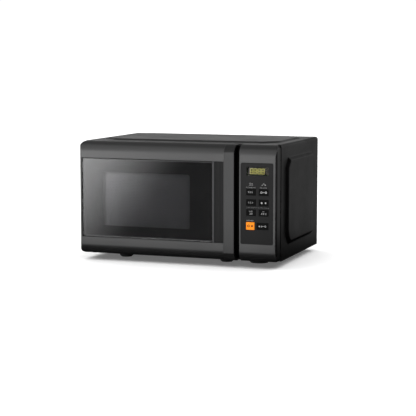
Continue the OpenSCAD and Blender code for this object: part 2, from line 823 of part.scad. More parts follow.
module door_frame() {
    boss_h = 16;
    color("dimgray") difference() {
        union() {
            difference() {
                union() {
                    door_blank();
                    grip_blank();
                }
                intersection() {
                    door_blank(wall);
                    block([door_x0, y_front, z_base], [grip_x0, y_door_back, z_top]);
                }
                block([door_x0 + wall, pivot_y, z_base + wall], [door_x1 - wall, y_door_back + 1, z_top - wall]);
                grip_blank(wall);
            }
            intersection() {
                along_y(y_front + 1, y_front + 6) window_rect(3);
                door_blank();
            }
            hinge_boss(tab_low + tab_t + 0.6, tab_low + tab_t + 0.6 + boss_h);
            hinge_boss(tab_high - 0.6 - boss_h, tab_high - 0.6);
            block([hook_x - 5, pivot_y + 2, spring_z1], [door_x1 - 1, y_door_back - 1, spring_z1 + 4]);
            for (z = [z_base + 95, z_base + 150]) latch_guide(z, z + 10);
            block([door_x0 + 1, y_door_back - wall, z_base + 1], [pivot_x + 5.3, y_door_back, z_top - 1]);
        }
        along_y(y_front - 1, y_front + 4) window_rect(0);
        along_y(y_front, y_front + 8) window_rect(-4);
        pivot_round();
        for (z = [tab_low, tab_high])
            block([door_x0 - 2, pivot_y - 6.2, z - 0.6], [pivot_x + 5, y_door_back + 1, z + tab_t + 0.6]);
        translate([pivot_x, pivot_y, tab_low]) cylinder(h = 17, r = pin_r + pin_fit);
        translate([pivot_x, pivot_y, tab_high + tab_t - 17]) cylinder(h = 17, r = pin_r + pin_fit);
    }
}

glass_y = y_front + 0.8;
glass_back = y_front + 4;

module door_glass() {
    color([0.1, 0.1, 0.1, 0.7])
        block([window_x0 + 0.2, glass_y, window_z0 + 0.2], [line_x0 - 0.1, glass_back, window_z1 - 0.2]);
}

module trim_line() {
    color("silver") block([line_x0, y_front + 0.4, window_z0 + 0.2],
        [line_x0 + line_w, glass_back, window_z1 - 0.2]);
}

module trim_insert() {
    color("dimgray") block([line_x0 + line_w + 0.1, glass_y + 0.2, window_z0 + 0.2],
        [window_x1 - 0.2, glass_back, window_z1 - 0.2]);
}

// Full-height pull handle: flat face, sloping ends, and an overhang that fingers go behind.
module handle() {
    lip_back = y_front + 4;
    color("dimgray") difference() {
        along_x(handle_x0, handle_x1) polygon([
            [y_handle, z_base + 16], [y_handle + 10, z_base + 4], [y_handle + 18, z_base + 0.4],
            [y_handle + 20, z_base + 0.4], [y_handle + 20, z_top - 0.4], [y_handle + 18, z_top - 0.4],
            [y_handle + 10, z_top - 4], [y_handle, z_top - 15]]);
        door_blank();
        along_x(grip_x0, handle_x1 + 1)
            round_rect(lip_back, z_base + 2.5, y_front + 40, z_top - 2.5, [22, 0, 0, 22]);
    }
}

screen_x0 = -170;
screen_x1 = 31;
screen_z0 = z_base + 61;
screen_z1 = z_base + 176.5;
panel_back = y_front + 15;

module door_inner_panel() {
    x0 = pivot_x + 7;
    x1 = 108;
    z0 = z_base + 12;
    z1 = z_top - 10;
    color("black") difference() {
        block([x0, panel_back - 1, z0], [x1, y_door_back - 1, z1]);
        block([x0 + 1, panel_back, z0 + 1], [x1 - 1, y_door_back, z1 - 1]);
        along_y(panel_back - 2, panel_back + 1)
            round_rect(screen_x0, screen_z0, screen_x1, screen_z1, [5, 5, 5, 5]);
    }
}

module door_screen() {
    color("gray") along_y(panel_back - 0.9, panel_back - 0.1)
        round_rect(screen_x0 + 0.1, screen_z0 + 0.1, screen_x1 - 0.1, screen_z1 - 0.1, [5, 5, 5, 5]);
}

module inner_sheet() {
    color([0.8, 0.8, 0.8, 0.3])
        block([cavity_x0 + 17, y_door_back - 1.8, cavity_z0 + 11],
            [cavity_x1 - 5, y_door_back - 1, cavity_z1 - 11]);
}

module choke_cover() {
    color("black") difference() {
        block([pivot_x + 5.5, y_door_back - 1, z_base + wall], [door_x1 - wall, y_door_back + 2, z_top - wall]);
        block([cavity_x0 + 20, y_door_back - 2, cavity_z0 + 14],
            [cavity_x1 - 8, y_door_back + 3, cavity_z1 - 14]);
        for (z = [hook_low, hook_high])
            block([hook_x - 4, y_door_back - 2, z - 5], [hook_x + 5, y_door_back + 3, z + 4 + latch_travel]);
    }
}

module latch_hook() {
    color("white") {
        block([hook_x - 5, latch_y0, hook_low - 8], [hook_x + 5, latch_y1, spring_z0]);
        for (z = [hook_low, hook_high])
            along_x(hook_x - hook_w / 2, hook_x + hook_w / 2) polygon([
                [latch_y1 - 1, z - 3], [y_seam + 6, z - 3], [y_seam + 6, z - 7], [y_seam + 9, z - 7],
                [y_seam + 15, z + 0.5], [y_seam + 15, z + 3], [latch_y1 - 1, z + 3]]);
    }
}

// Compression spring: a round wire swept along a helix, closed at both ends.
module latch_spring() {
    wire_r = 0.45;
    coil_r = 2.6;
    turns = 7;
    steps = 14 * turns;
    sides = 6;
    rise = spring_z1 - spring_z0 - 2 * wire_r;
    ring = function(i, k) let (a = 360 * i * turns / steps, b = 360 * k / sides)
        [(coil_r + wire_r * cos(b)) * cos(a), (coil_r + wire_r * cos(b)) * sin(a),
            wire_r * sin(b) + rise * i / steps];
    color("silver") translate([hook_x, (latch_y0 + latch_y1) / 2, spring_z0 + wire_r])
        polyhedron(
            points = [for (i = [0:steps], k = [0:sides - 1]) ring(i, k)],
            faces = concat(
                [[for (k = [0:sides - 1]) sides - 1 - k]],
                [[for (k = [0:sides - 1]) steps * sides + k]],
                [for (i = [0:steps - 1], k = [0:sides - 1])
                    [i * sides + k, i * sides + (k + 1) % sides,
                        (i + 1) * sides + (k + 1) % sides, (i + 1) * sides + k]]));
}

// ---------- one line for each node ----------

outer_cabinet();
base_plate();
rear_panel();
wall_spacers();
feet();
foot_pads();
cabinet_screws();
cavity_shell();
front_frame();
hinge_brackets();
waveguide();
mica_cover();
magnetron_core();
magnetron_fins();
magnetron_yoke();
magnetron_filter_box();
transformer_core();
transformer_coils();
capacitor();
fan_shroud();
fan_motor();
fan_blade();
lamp_holder();
lamp_bulb();
turntable_motor();
drive_coupler();
roller_ring();
roller(0);  // roller_1
roller(1);  // roller_2
roller(2);  // roller_3
glass_tray();
latch_holder();
interlock_switches();
noise_filter_board();
cord_gland();
control_fascia();
key_panel();
display_window();
display_module();
control_board();
tact_switches();
key(key_left_x, key_rows[0], key_w, key_h, "black");  // key_row1_left
key(key_right_x, key_rows[0], key_w, key_h, "black");  // key_row1_right
key(key_left_x, key_rows[1], key_w, key_h, "black");  // key_row2_left
key(key_right_x, key_rows[1], key_w, key_h, "black");  // key_row2_right
key(key_left_x, key_rows[2], key_w, key_h, "black");  // key_row3_left
key(key_right_x, key_rows[2], key_w, key_h, "black");  // key_row3_right
key(cancel_x, last_row, cancel_w, cancel_h, "darkorange");  // key_cancel
key(start_x, last_row, start_w, start_h, "black");  // key_start
door_frame();
door_glass();
trim_line();
trim_insert();
handle();
door_inner_panel();
door_screen();
inner_sheet();
choke_cover();
latch_hook();
latch_spring();
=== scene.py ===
# %% [markdown]
# # A countertop microwave oven, dressed for the camera
# The oven's working model is a packed set of plain solids that already fit and move. This lesson gives each
# visible piece the shape and finish that the real one has. Pressed steel, moulded plastic, glass, print and lit
# digits are all worked out here as surfaces with numpy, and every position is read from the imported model.

# %% Load the working model
import json
import math

import bmesh
import bpy
import numpy as np
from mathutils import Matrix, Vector


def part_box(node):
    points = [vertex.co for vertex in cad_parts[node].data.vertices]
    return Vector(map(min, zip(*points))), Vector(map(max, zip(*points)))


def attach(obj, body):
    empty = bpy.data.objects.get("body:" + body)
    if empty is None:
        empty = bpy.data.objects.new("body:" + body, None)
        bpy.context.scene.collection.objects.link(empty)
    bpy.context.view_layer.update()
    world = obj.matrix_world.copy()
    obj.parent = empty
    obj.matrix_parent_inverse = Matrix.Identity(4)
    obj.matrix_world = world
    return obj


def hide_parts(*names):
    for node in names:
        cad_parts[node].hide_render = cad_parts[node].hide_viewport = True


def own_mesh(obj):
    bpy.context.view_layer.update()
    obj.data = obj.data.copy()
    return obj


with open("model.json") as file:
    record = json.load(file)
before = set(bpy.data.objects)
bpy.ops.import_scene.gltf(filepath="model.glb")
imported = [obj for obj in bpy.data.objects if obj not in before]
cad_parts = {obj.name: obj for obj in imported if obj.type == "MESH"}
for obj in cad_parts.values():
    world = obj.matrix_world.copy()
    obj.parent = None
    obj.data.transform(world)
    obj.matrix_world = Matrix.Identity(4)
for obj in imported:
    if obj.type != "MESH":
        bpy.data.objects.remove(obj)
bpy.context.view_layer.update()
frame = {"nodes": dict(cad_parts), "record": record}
nodes = frame["nodes"]
MM = 0.001

# %% [markdown]
# ## Where things are
# Every piece is measured from the box of the solid that it dresses, in metres. A short name for a box's six
# faces keeps the later cells readable: x0 and x1 are left and right, y0 and y1 front and back, z0 and z1 low
# and high.

# %% Boxes of the solids
class Box:
    """The six faces of a solid's box, in metres."""

    def __init__(self, name):
        low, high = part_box(name)
        self.x0, self.y0, self.z0 = low
        self.x1, self.y1, self.z1 = high
        self.centre = (low + high) / 2


door = Box("door_frame")
case = Box("outer_cabinet")
fascia = Box("control_fascia")
glass = Box("door_glass")
bar = Box("handle")
film = Box("key_panel")
BASE_Z = door.z0
TOP_Z = door.z1
FACE_Y = fascia.y0
print("door", round(door.x1 - door.x0, 3), "wide, front face at", round(FACE_Y, 3))

# %% [markdown]
# ## Camera
# The oven is seen from its right and from slightly above, with a long lens, as product pictures are. The camera
# looks level to left and right, so upright edges stay nearly parallel.

# %% Camera
CAMERA_AT = (1.0136, -2.7583, 0.4432)
CAMERA_TURN = (math.radians(83.381), 0.0, math.radians(19.944))
SENSOR_MM, LENS_MM = 36.0, 116.53
camera = bpy.data.objects.new("camera", bpy.data.cameras.new("camera"))
camera.location = CAMERA_AT
camera.rotation_euler = CAMERA_TURN
camera.data.sensor_width, camera.data.lens = SENSOR_MM, LENS_MM
bpy.context.scene.collection.objects.link(camera)
bpy.context.scene.camera = camera
print("camera", round(Vector(CAMERA_AT).length, 2), "m away")

# %% [markdown]
# ## Turning arrays into pieces
# A surface is a grid of points: one direction runs along a profile, the other carries it. Both can close on
# themselves, so one function covers tubes, rings and rounded slabs. The faces come from index arithmetic on whole
# arrays, wound so that they look outwards, and a flat cap can close either end.

# %% Grid surfaces
def add_piece(name, points, faces, body, slot, hides=(), sharp=32.0):
    """Makes a mesh object from points and faces, gives it the slot's finish, rides it on a body, and hides the solids
    it replaces.
    """
    mesh = bpy.data.meshes.new(name)
    mesh.from_pydata(np.asarray(points, float).reshape(-1, 3).tolist(), [], faces)
    mesh.validate()
    mesh.calc_loop_triangles()
    corners = np.empty(len(mesh.loop_triangles) * 3, np.int32)
    mesh.loop_triangles.foreach_get("vertices", corners)
    place = np.asarray(points, float).reshape(-1, 3)[corners].reshape(-1, 3, 3)
    if np.einsum("ij,ij->i", place[:, 0], np.cross(place[:, 1], place[:, 2])).sum() < 0:
        mesh.flip_normals()
    mesh.shade_smooth()
    mesh.set_sharp_from_angle(angle=math.radians(sharp))
    piece = bpy.data.objects.new(name, mesh)
    bpy.context.scene.collection.objects.link(piece)
    mesh.materials.append(finish(slot))
    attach(piece, body)
    if hides:
        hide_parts(*hides)
    return piece


def grid_faces(rows, columns, closed_rows, closed_columns, first=0):
    """Quads of a grid of points, row by row: each joins a point to its neighbours along and across."""
    i = np.arange(rows if closed_rows else rows - 1)[:, None]
    j = np.arange(columns if closed_columns else columns - 1)[None, :]
    ni, nj = (i + 1) % rows, (j + 1) % columns
    quads = np.stack([i * columns + j, ni * columns + j, ni * columns + nj, i * columns + nj], -1)
    return (quads.reshape(-1, 4) + first).tolist()


def stack(loops, closed=False, caps=True):
    """Points and faces of a pile of equal loops: open with two flat caps, or closed like a frame."""
    loops = np.asarray(loops, float)
    rows, columns = loops.shape[:2]
    faces = grid_faces(rows, columns, closed, True)
    if caps and not closed:
        faces.append(list(range(columns)))
        faces.append([rows * columns - 1 - k for k in range(columns)])
    return loops.reshape(-1, 3), faces


def join(parts):
    """Several (points, faces) pairs as one."""
    points, faces, count = [], [], 0
    for part_points, part_faces in parts:
        points.append(np.asarray(part_points, float).reshape(-1, 3))
        faces += [[index + count for index in face] for face in part_faces]
        count += len(points[-1])
    return np.concatenate(points), faces


# %% [markdown]
# ## Outlines with rounded corners
# Mouldings and glass share one outline: a rectangle seen from the front whose corners are quarter circles.
# Walking round it always takes the same number of points, so outlines of different sizes can be stacked from
# front to back into a rounded slab.

# %% Rounded outlines
ARC = 8


def rounded(u0, u1, v0, v1, radii, arc=ARC, hold=0.0005):
    """A flat outline, anticlockwise. Each corner is a quarter circle: the corner's centre plus the radius times
    the cosine and sine of an angle that turns a quarter from one corner to the next. A point held a little way
    along each side before and after the corner keeps the side's shading flat."""
    turn = np.linspace(0, math.pi / 2, arc + 1)
    corners = [(u0, v0, 1, 1, 2), (u1, v0, -1, 1, 3), (u1, v1, -1, -1, 0), (u0, v1, 1, -1, 1)]
    points = []
    for (u, v, du, dv, quarter), r in zip(corners, radii):
        angle = turn + quarter * math.pi / 2
        curve = np.stack([u + du * r + r * np.cos(angle), v + dv * r + r * np.sin(angle)], -1)
        before = curve[:1] + hold * np.array([math.sin(angle[0]), -math.cos(angle[0])])
        after = curve[-1:] + hold * np.array([-math.sin(angle[-1]), math.cos(angle[-1])])
        points += [before, curve, after]
    return np.concatenate(points)


def at_y(flat, y):
    """A flat outline of (x, z) put at depth y."""
    return np.stack([flat[:, 0], np.full(len(flat), y), flat[:, 1]], -1)


def at_z(flat, z):
    """A flat outline of (x, y) put at height z."""
    return np.stack([flat[:, 0], flat[:, 1], np.full(len(flat), z)], -1)


def slab(x0, x1, y0, y1, z0, z1, corner=0.0, edge=0.0004, steps=3):
    """A rounded slab: the outline shrinks by edge * (1 - sin a) while its depth grows by edge * (1 - cos a)."""
    a = np.linspace(0, math.pi / 2, steps + 1)
    inset, depth = edge * (1 - np.sin(a)), edge * (1 - np.cos(a))
    r = max(corner, edge)
    loop = lambda k, y: at_y(rounded(x0 + k, x1 - k, z0 + k, z1 - k, [max(r - k, 1e-5)] * 4), y)
    front = [loop(edge + 0.0004, y0)] + [loop(k, y0 + d) for k, d in zip(inset, depth)]
    back = [loop(k, y1 - d) for k, d in zip(inset[::-1], depth[::-1])] + [loop(edge + 0.0004, y1)]
    return stack(front + back)


def lathe(profile, centre, axis="z", around=64):
    """A profile of (radius, height) pairs turned about an axis: radius times cosine and sine of the turn."""
    turn = np.linspace(0, 2 * math.pi, around, endpoint=False)
    r, h = np.asarray(profile, float).T[:, :, None]
    across, up, along = r * np.cos(turn), r * np.sin(turn), h + 0 * turn
    order = {"z": (across, up, along), "y": (across, along, up), "x": (along, across, up)}[axis]
    return np.stack(order, -1) + np.asarray(centre, float)


print("helpers ready")

# %% [markdown]
# ## Building finishes from nodes
# A finish is a small graph of shader nodes. One helper adds a node, sets its options and fills its sockets, so
# that a material reads as a short list. Linked sockets carry patterns; plain numbers sit on the socket itself. Four
# short functions name what comes up most: arithmetic, a mix of two colours, a soft ramp and the place on the piece.

# %% Node helpers
def put(tree, kind, options=None, **sockets):
    """Adds a node. A socket's value is a number, a colour, or another node's output to link."""
    made = tree.nodes.new("ShaderNode" + kind)
    for key, value in (options or {}).items():
        setattr(made, key, value)
    for key, value in sockets.items():
        name = key.replace("_", " ")
        socket = made.inputs[int(name[1:])] if name[0] == "i" and name[1:].isdigit() else made.inputs[name]
        if isinstance(value, bpy.types.NodeSocket):
            tree.links.new(value, socket)
        else:
            socket.default_value = value
    return made


def new_group(name, inputs, outputs):
    """A shader node group with number inputs and named outputs. Returns the tree, its inputs and its end node."""
    tree = bpy.data.node_groups.new(name, "ShaderNodeTree")
    for key, value in inputs.items():
        tree.interface.new_socket(key, in_out="INPUT", socket_type="NodeSocketFloat").default_value = value
    for key, kind in outputs.items():
        tree.interface.new_socket(key, in_out="OUTPUT", socket_type="NodeSocket" + kind)
    start = tree.nodes.new("NodeGroupInput")
    end = tree.nodes.new("NodeGroupOutput")
    return tree, start.outputs, end.inputs


def place_group(tree, group, **values):
    """Puts a group into a material with its own values."""
    made = tree.nodes.new("ShaderNodeGroup")
    made.node_tree = group
    for key, value in values.items():
        socket = made.inputs[key.replace("_", " ")]
        if isinstance(value, bpy.types.NodeSocket):
            tree.links.new(value, socket)
        else:
            socket.default_value = value
    return made.outputs


def calc(tree, operation, first, second):
    """Two numbers added, multiplied, divided or compared, as the operation's name says."""
    return put(tree, "Math", {"operation": operation}, i0=first, i1=second).outputs[0]


def blend(tree, factor, first, second):
    """The first colour where the factor is 0, the second where it is 1, and a mix between."""
    return put(tree, "Mix", {"data_type": "RGBA"}, Factor=factor, i6=first, i7=second).outputs[2]


def soft_ramp(tree, value, start, end, low, high):
    """Goes from low to high with level ends, while the value goes from start to end."""
    ends = {"From_Min": start, "From_Max": end, "To_Min": low, "To_Max": high}
    return put(tree, "MapRange", {"interpolation_type": "SMOOTHSTEP"}, Value=value, **ends).outputs["Result"]


def own_place(tree):
    """The position in the piece's own space, so that a pattern keeps its size and moves with the piece."""
    return put(tree, "TexCoord").outputs["Object"]


# %% [markdown]
# ## Shared effects
# Moulded plastic and powder paint carry a fine grain. Surfaces that hands touch are unevenly smooth. Sheet metal
# keeps faint lines along the way it was rolled. Upward faces gather a little dust. Each effect is one group,
# used by many finishes with different values.

# %% Fine grain
def build_grain():
    """Height = fine noise plus a share of small cells, both in object space, sized by Size in millimetres."""
    tree, given, out = new_group("fine_grain", {"Size": 0.5, "Cells": 0.4}, {"Height": "Float"})
    place = own_place(tree)
    scale = calc(tree, "DIVIDE", 1000.0, given["Size"])
    noise = put(tree, "TexNoise", Vector=place, Scale=scale, Detail=3.0, Roughness=0.6).outputs["Fac"]
    cells = put(tree, "TexVoronoi", {"feature": "F1"}, Vector=place, Scale=scale).outputs["Distance"]
    share = calc(tree, "MULTIPLY", cells, given["Cells"])
    total = calc(tree, "ADD", noise, share)
    tree.links.new(total, out["Height"])
    return tree


# %% Uneven smoothness
def build_handling():
    """Roughness = a mix of Low and High by two sizes of slow noise, so gloss varies as wiped surfaces do."""
    tree, given, out = new_group(
        "handled_surface", {"Low": 0.35, "High": 0.5, "Size": 60.0}, {"Roughness": "Float", "Mask": "Float"}
    )
    place = own_place(tree)
    scale = calc(tree, "DIVIDE", 1000.0, given["Size"])
    broad = put(tree, "TexNoise", Vector=place, Scale=scale, Detail=5.0, Roughness=0.65, Distortion=0.6)
    spread = {"From_Min": 0.32, "From_Max": 0.68}
    mask = put(tree, "MapRange", {"clamp": True}, Value=broad.outputs["Fac"], **spread).outputs["Result"]
    rough = put(tree, "Mix", {"data_type": "FLOAT"}, Factor=mask, i2=given["Low"], i3=given["High"]).outputs[0]
    tree.links.new(rough, out["Roughness"])
    tree.links.new(mask, out["Mask"])
    return tree


# %% Rolled sheet
def build_rolled():
    """Height and Shade = noise squeezed hard across X, so that it reads as fine lines along the sheet."""
    tree, given, out = new_group("rolled_sheet", {"Fineness": 900.0}, {"Height": "Float", "Shade": "Float"})
    place = own_place(tree)
    squeeze = put(tree, "Mapping", Vector=place, Scale=(0.02, 1.0, 1.0)).outputs[0]
    lines = put(tree, "TexNoise", Vector=squeeze, Scale=given["Fineness"], Detail=2.0).outputs["Fac"]
    cloud = put(tree, "TexNoise", Vector=place, Scale=18.0, Detail=4.0).outputs["Fac"]
    shade = calc(tree, "MULTIPLY", lines, cloud)
    tree.links.new(lines, out["Height"])
    tree.links.new(shade, out["Shade"])
    return tree


# %% Settled dust
def build_dust():
    """Mask = how far the surface faces up, to a power, times specks and patches of noise."""
    tree, given, out = new_group("settled_dust", {"Amount": 0.1}, {"Mask": "Float"})
    place = own_place(tree)
    normal = put(tree, "NewGeometry").outputs["Normal"]
    up = put(tree, "SeparateXYZ", Vector=normal).outputs["Z"]
    up = calc(tree, "MAXIMUM", up, 0.0)
    up = calc(tree, "POWER", up, 4.0)
    specks = put(tree, "TexNoise", Vector=place, Scale=900.0, Detail=3.0).outputs["Fac"]
    patches = put(tree, "TexNoise", Vector=place, Scale=14.0, Detail=4.0).outputs["Fac"]
    both = calc(tree, "MULTIPLY", specks, patches)
    mask = calc(tree, "MULTIPLY", up, both)
    mask = put(tree, "Math", {"operation": "MULTIPLY", "use_clamp": True}, i0=mask, i1=given["Amount"]).outputs[0]
    tree.links.new(mask, out["Mask"])
    return tree


GRAIN, HANDLING, ROLLED, DUST = build_grain(), build_handling(), build_rolled(), build_dust()
print("effects:", [g.name for g in (GRAIN, HANDLING, ROLLED, DUST)])

# %% [markdown]
# ## Families of finish
# Nearly every slot belongs to one of a few families: moulded or painted surfaces, bare metal, or something
# clear. Each family is a function, and its values make the particular finish.

# %% Moulded and painted surfaces
def start_material(name):
    material = bpy.data.materials.new(name)
    material.use_nodes = True
    tree = material.node_tree
    tree.nodes.clear()
    shader = tree.nodes.new("ShaderNodeBsdfPrincipled")
    end = tree.nodes.new("ShaderNodeOutputMaterial")
    tree.links.new(shader.outputs[0], end.inputs["Surface"])
    return material, tree, shader


def bump(tree, shader, height, depth_mm, strength=1.0):
    """Feeds a height pattern to the shader's normal, with its depth in millimetres."""
    made = put(tree, "Bump", Height=height, Strength=strength, Distance=depth_mm * MM)
    tree.links.new(made.outputs[0], shader.inputs["Normal"])


def mottled(tree, shader, colour, mask, change):
    """Base colour that drifts by a small factor between two tones of the same colour."""
    tones = [(*(c * k for c in colour), 1.0) for k in (1 - change, 1 + change)]
    mix = blend(tree, mask, tones[0], tones[1])
    tree.links.new(mix, shader.inputs["Base Color"])
    return mix


def moulded(name, colour, low=0.4, high=0.5, grain=0.45, depth=0.012, dust=0.0, coat=0.0, level=0.5):
    """Plastic or paint: slow drift of gloss and tone, fine grain, and dust on what faces up."""
    material, tree, shader = start_material(name)
    touch = place_group(tree, HANDLING, Low=low, High=high)
    tone = mottled(tree, shader, colour, touch["Mask"], 0.06)
    tree.links.new(touch["Roughness"], shader.inputs["Roughness"])
    if dust:
        mask = place_group(tree, DUST, Amount=dust)["Mask"]
        pale = (0.32, 0.31, 0.29, 1.0)
        mix = blend(tree, mask, tone, pale)
        tree.links.new(mix, shader.inputs["Base Color"])
    bump(tree, shader, place_group(tree, GRAIN, Size=grain)["Height"], depth)
    shader.inputs["Coat Weight"].default_value = coat
    shader.inputs["Coat Roughness"].default_value = 0.12
    shader.inputs["Specular IOR Level"].default_value = level
    return material


# %% Metal
def metal(name, colour, rough=0.3, fineness=900.0, depth=0.004, spangle=0.0):
    """Bare metal: rolled lines in gloss and height, and on galvanised sheet the patches of its crystals."""
    material, tree, shader = start_material(name)
    rolled = place_group(tree, ROLLED, Fineness=fineness)
    touch = place_group(tree, HANDLING, Low=rough * 0.8, High=rough * 1.25, Size=35.0)
    tone = mottled(tree, shader, colour, rolled["Shade"], 0.1)
    if spangle:
        place = own_place(tree)
        cells = put(tree, "TexVoronoi", {"feature": "F1"}, Vector=place, Scale=160.0).outputs["Color"]
        grey = put(tree, "RGBToBW", Color=cells).outputs[0]
        dark = (*(c * (1 - spangle) for c in colour), 1.0)
        mix = blend(tree, grey, dark, tone)
        tree.links.new(mix, shader.inputs["Base Color"])
    tree.links.new(touch["Roughness"], shader.inputs["Roughness"])
    bump(tree, shader, rolled["Height"], depth)
    shader.inputs["Metallic"].default_value = 1.0
    return material


# %% Glass
def clear(name, colour, rough=0.02, ior=1.5, smears=0.03):
    """Glass or clear sheet: light passes, tinted by the colour, and faint smears vary its gloss."""
    material, tree, shader = start_material(name)
    touch = place_group(tree, HANDLING, Low=rough, High=rough + smears, Size=45.0)
    tree.links.new(touch["Roughness"], shader.inputs["Roughness"])
    shader.inputs["Base Color"].default_value = (*colour, 1.0)
    shader.inputs["Transmission Weight"].default_value = 1.0
    shader.inputs["IOR"].default_value = ior
    return material


# %% [markdown]
# ## Special finishes
# A few pieces need a pattern of their own: wound wire, stacked laminations, a lacquered board, flaky mica, and
# the light of the digits.

# %% Wound wire and laminations
WAVE_PERIOD = 0.314  # length after which a wave of scale 1 repeats


def layered(name, dark, light, pitch_mm, direction, metallic, rough):
    """Fine parallel lines, as on a winding or a stack of laminations: a sine wave in object space."""
    material, tree, shader = start_material(name)
    place = own_place(tree)
    options = {"wave_type": "BANDS", "bands_direction": direction, "wave_profile": "SIN"}
    wave = put(tree, "TexWave", options, Vector=place, Scale=WAVE_PERIOD / (pitch_mm * MM), Distortion=0.15)
    mix = blend(tree, wave.outputs["Fac"], (*dark, 1), (*light, 1))
    tree.links.new(mix, shader.inputs["Base Color"])
    bump(tree, shader, wave.outputs["Fac"], pitch_mm * 0.2)
    shader.inputs["Metallic"].default_value = metallic
    shader.inputs["Roughness"].default_value = rough
    return material


# %% Lacquered board
def board(name):
    """Green lacquer over paler copper areas: cell borders stand for the gaps between the copper."""
    material, tree, shader = start_material(name)
    place = own_place(tree)
    edge = put(tree, "TexVoronoi", {"feature": "DISTANCE_TO_EDGE"}, Vector=place, Scale=130.0)
    trace = calc(tree, "GREATER_THAN", edge.outputs["Distance"], 0.06)
    tones = (0.012, 0.06, 0.015, 1.0), (0.03, 0.13, 0.03, 1.0)
    mix = blend(tree, trace, tones[0], tones[1])
    tree.links.new(mix, shader.inputs["Base Color"])
    bump(tree, shader, trace, 0.03)
    shader.inputs["Roughness"].default_value = 0.3
    return material


# %% Mica
def mica(name):
    """Pale sheet with silvery flakes: stretched noise mixes two tones and lifts the surface slightly."""
    material, tree, shader = start_material(name)
    place = own_place(tree)
    flakes = put(tree, "TexNoise", Vector=place, Scale=260.0, Detail=4.0, Distortion=1.5).outputs["Fac"]
    tones = (0.35, 0.28, 0.18, 1.0), (0.62, 0.56, 0.45, 1.0)
    mix = blend(tree, flakes, tones[0], tones[1])
    tree.links.new(mix, shader.inputs["Base Color"])
    bump(tree, shader, flakes, 0.05)
    shader.inputs["Roughness"].default_value = 0.38
    return material


# %% Lit digits and print
def lit(name, colour, strength):
    """A lit segment: it gives off its colour, a little uneven along each bar."""
    material, tree, shader = start_material(name)
    place = own_place(tree)
    drift = put(tree, "TexNoise", Vector=place, Scale=500.0, Detail=1.0).outputs["Fac"]
    tones = (*(c * 0.8 for c in colour), 1.0), (*colour, 1.0)
    mix = blend(tree, drift, tones[0], tones[1])
    tree.links.new(mix, shader.inputs["Emission Color"])
    shader.inputs["Base Color"].default_value = (0.02, 0.02, 0.01, 1.0)
    shader.inputs["Emission Strength"].default_value = strength
    return material


# %% [markdown]
# ## The finishes of this oven
# The front is charcoal plastic with a soft sheen. The case is steel with a fine powder coat. Inside, the cavity
# is pale enamel. A dictionary names one maker for each finish, and each is built once, when first asked for.

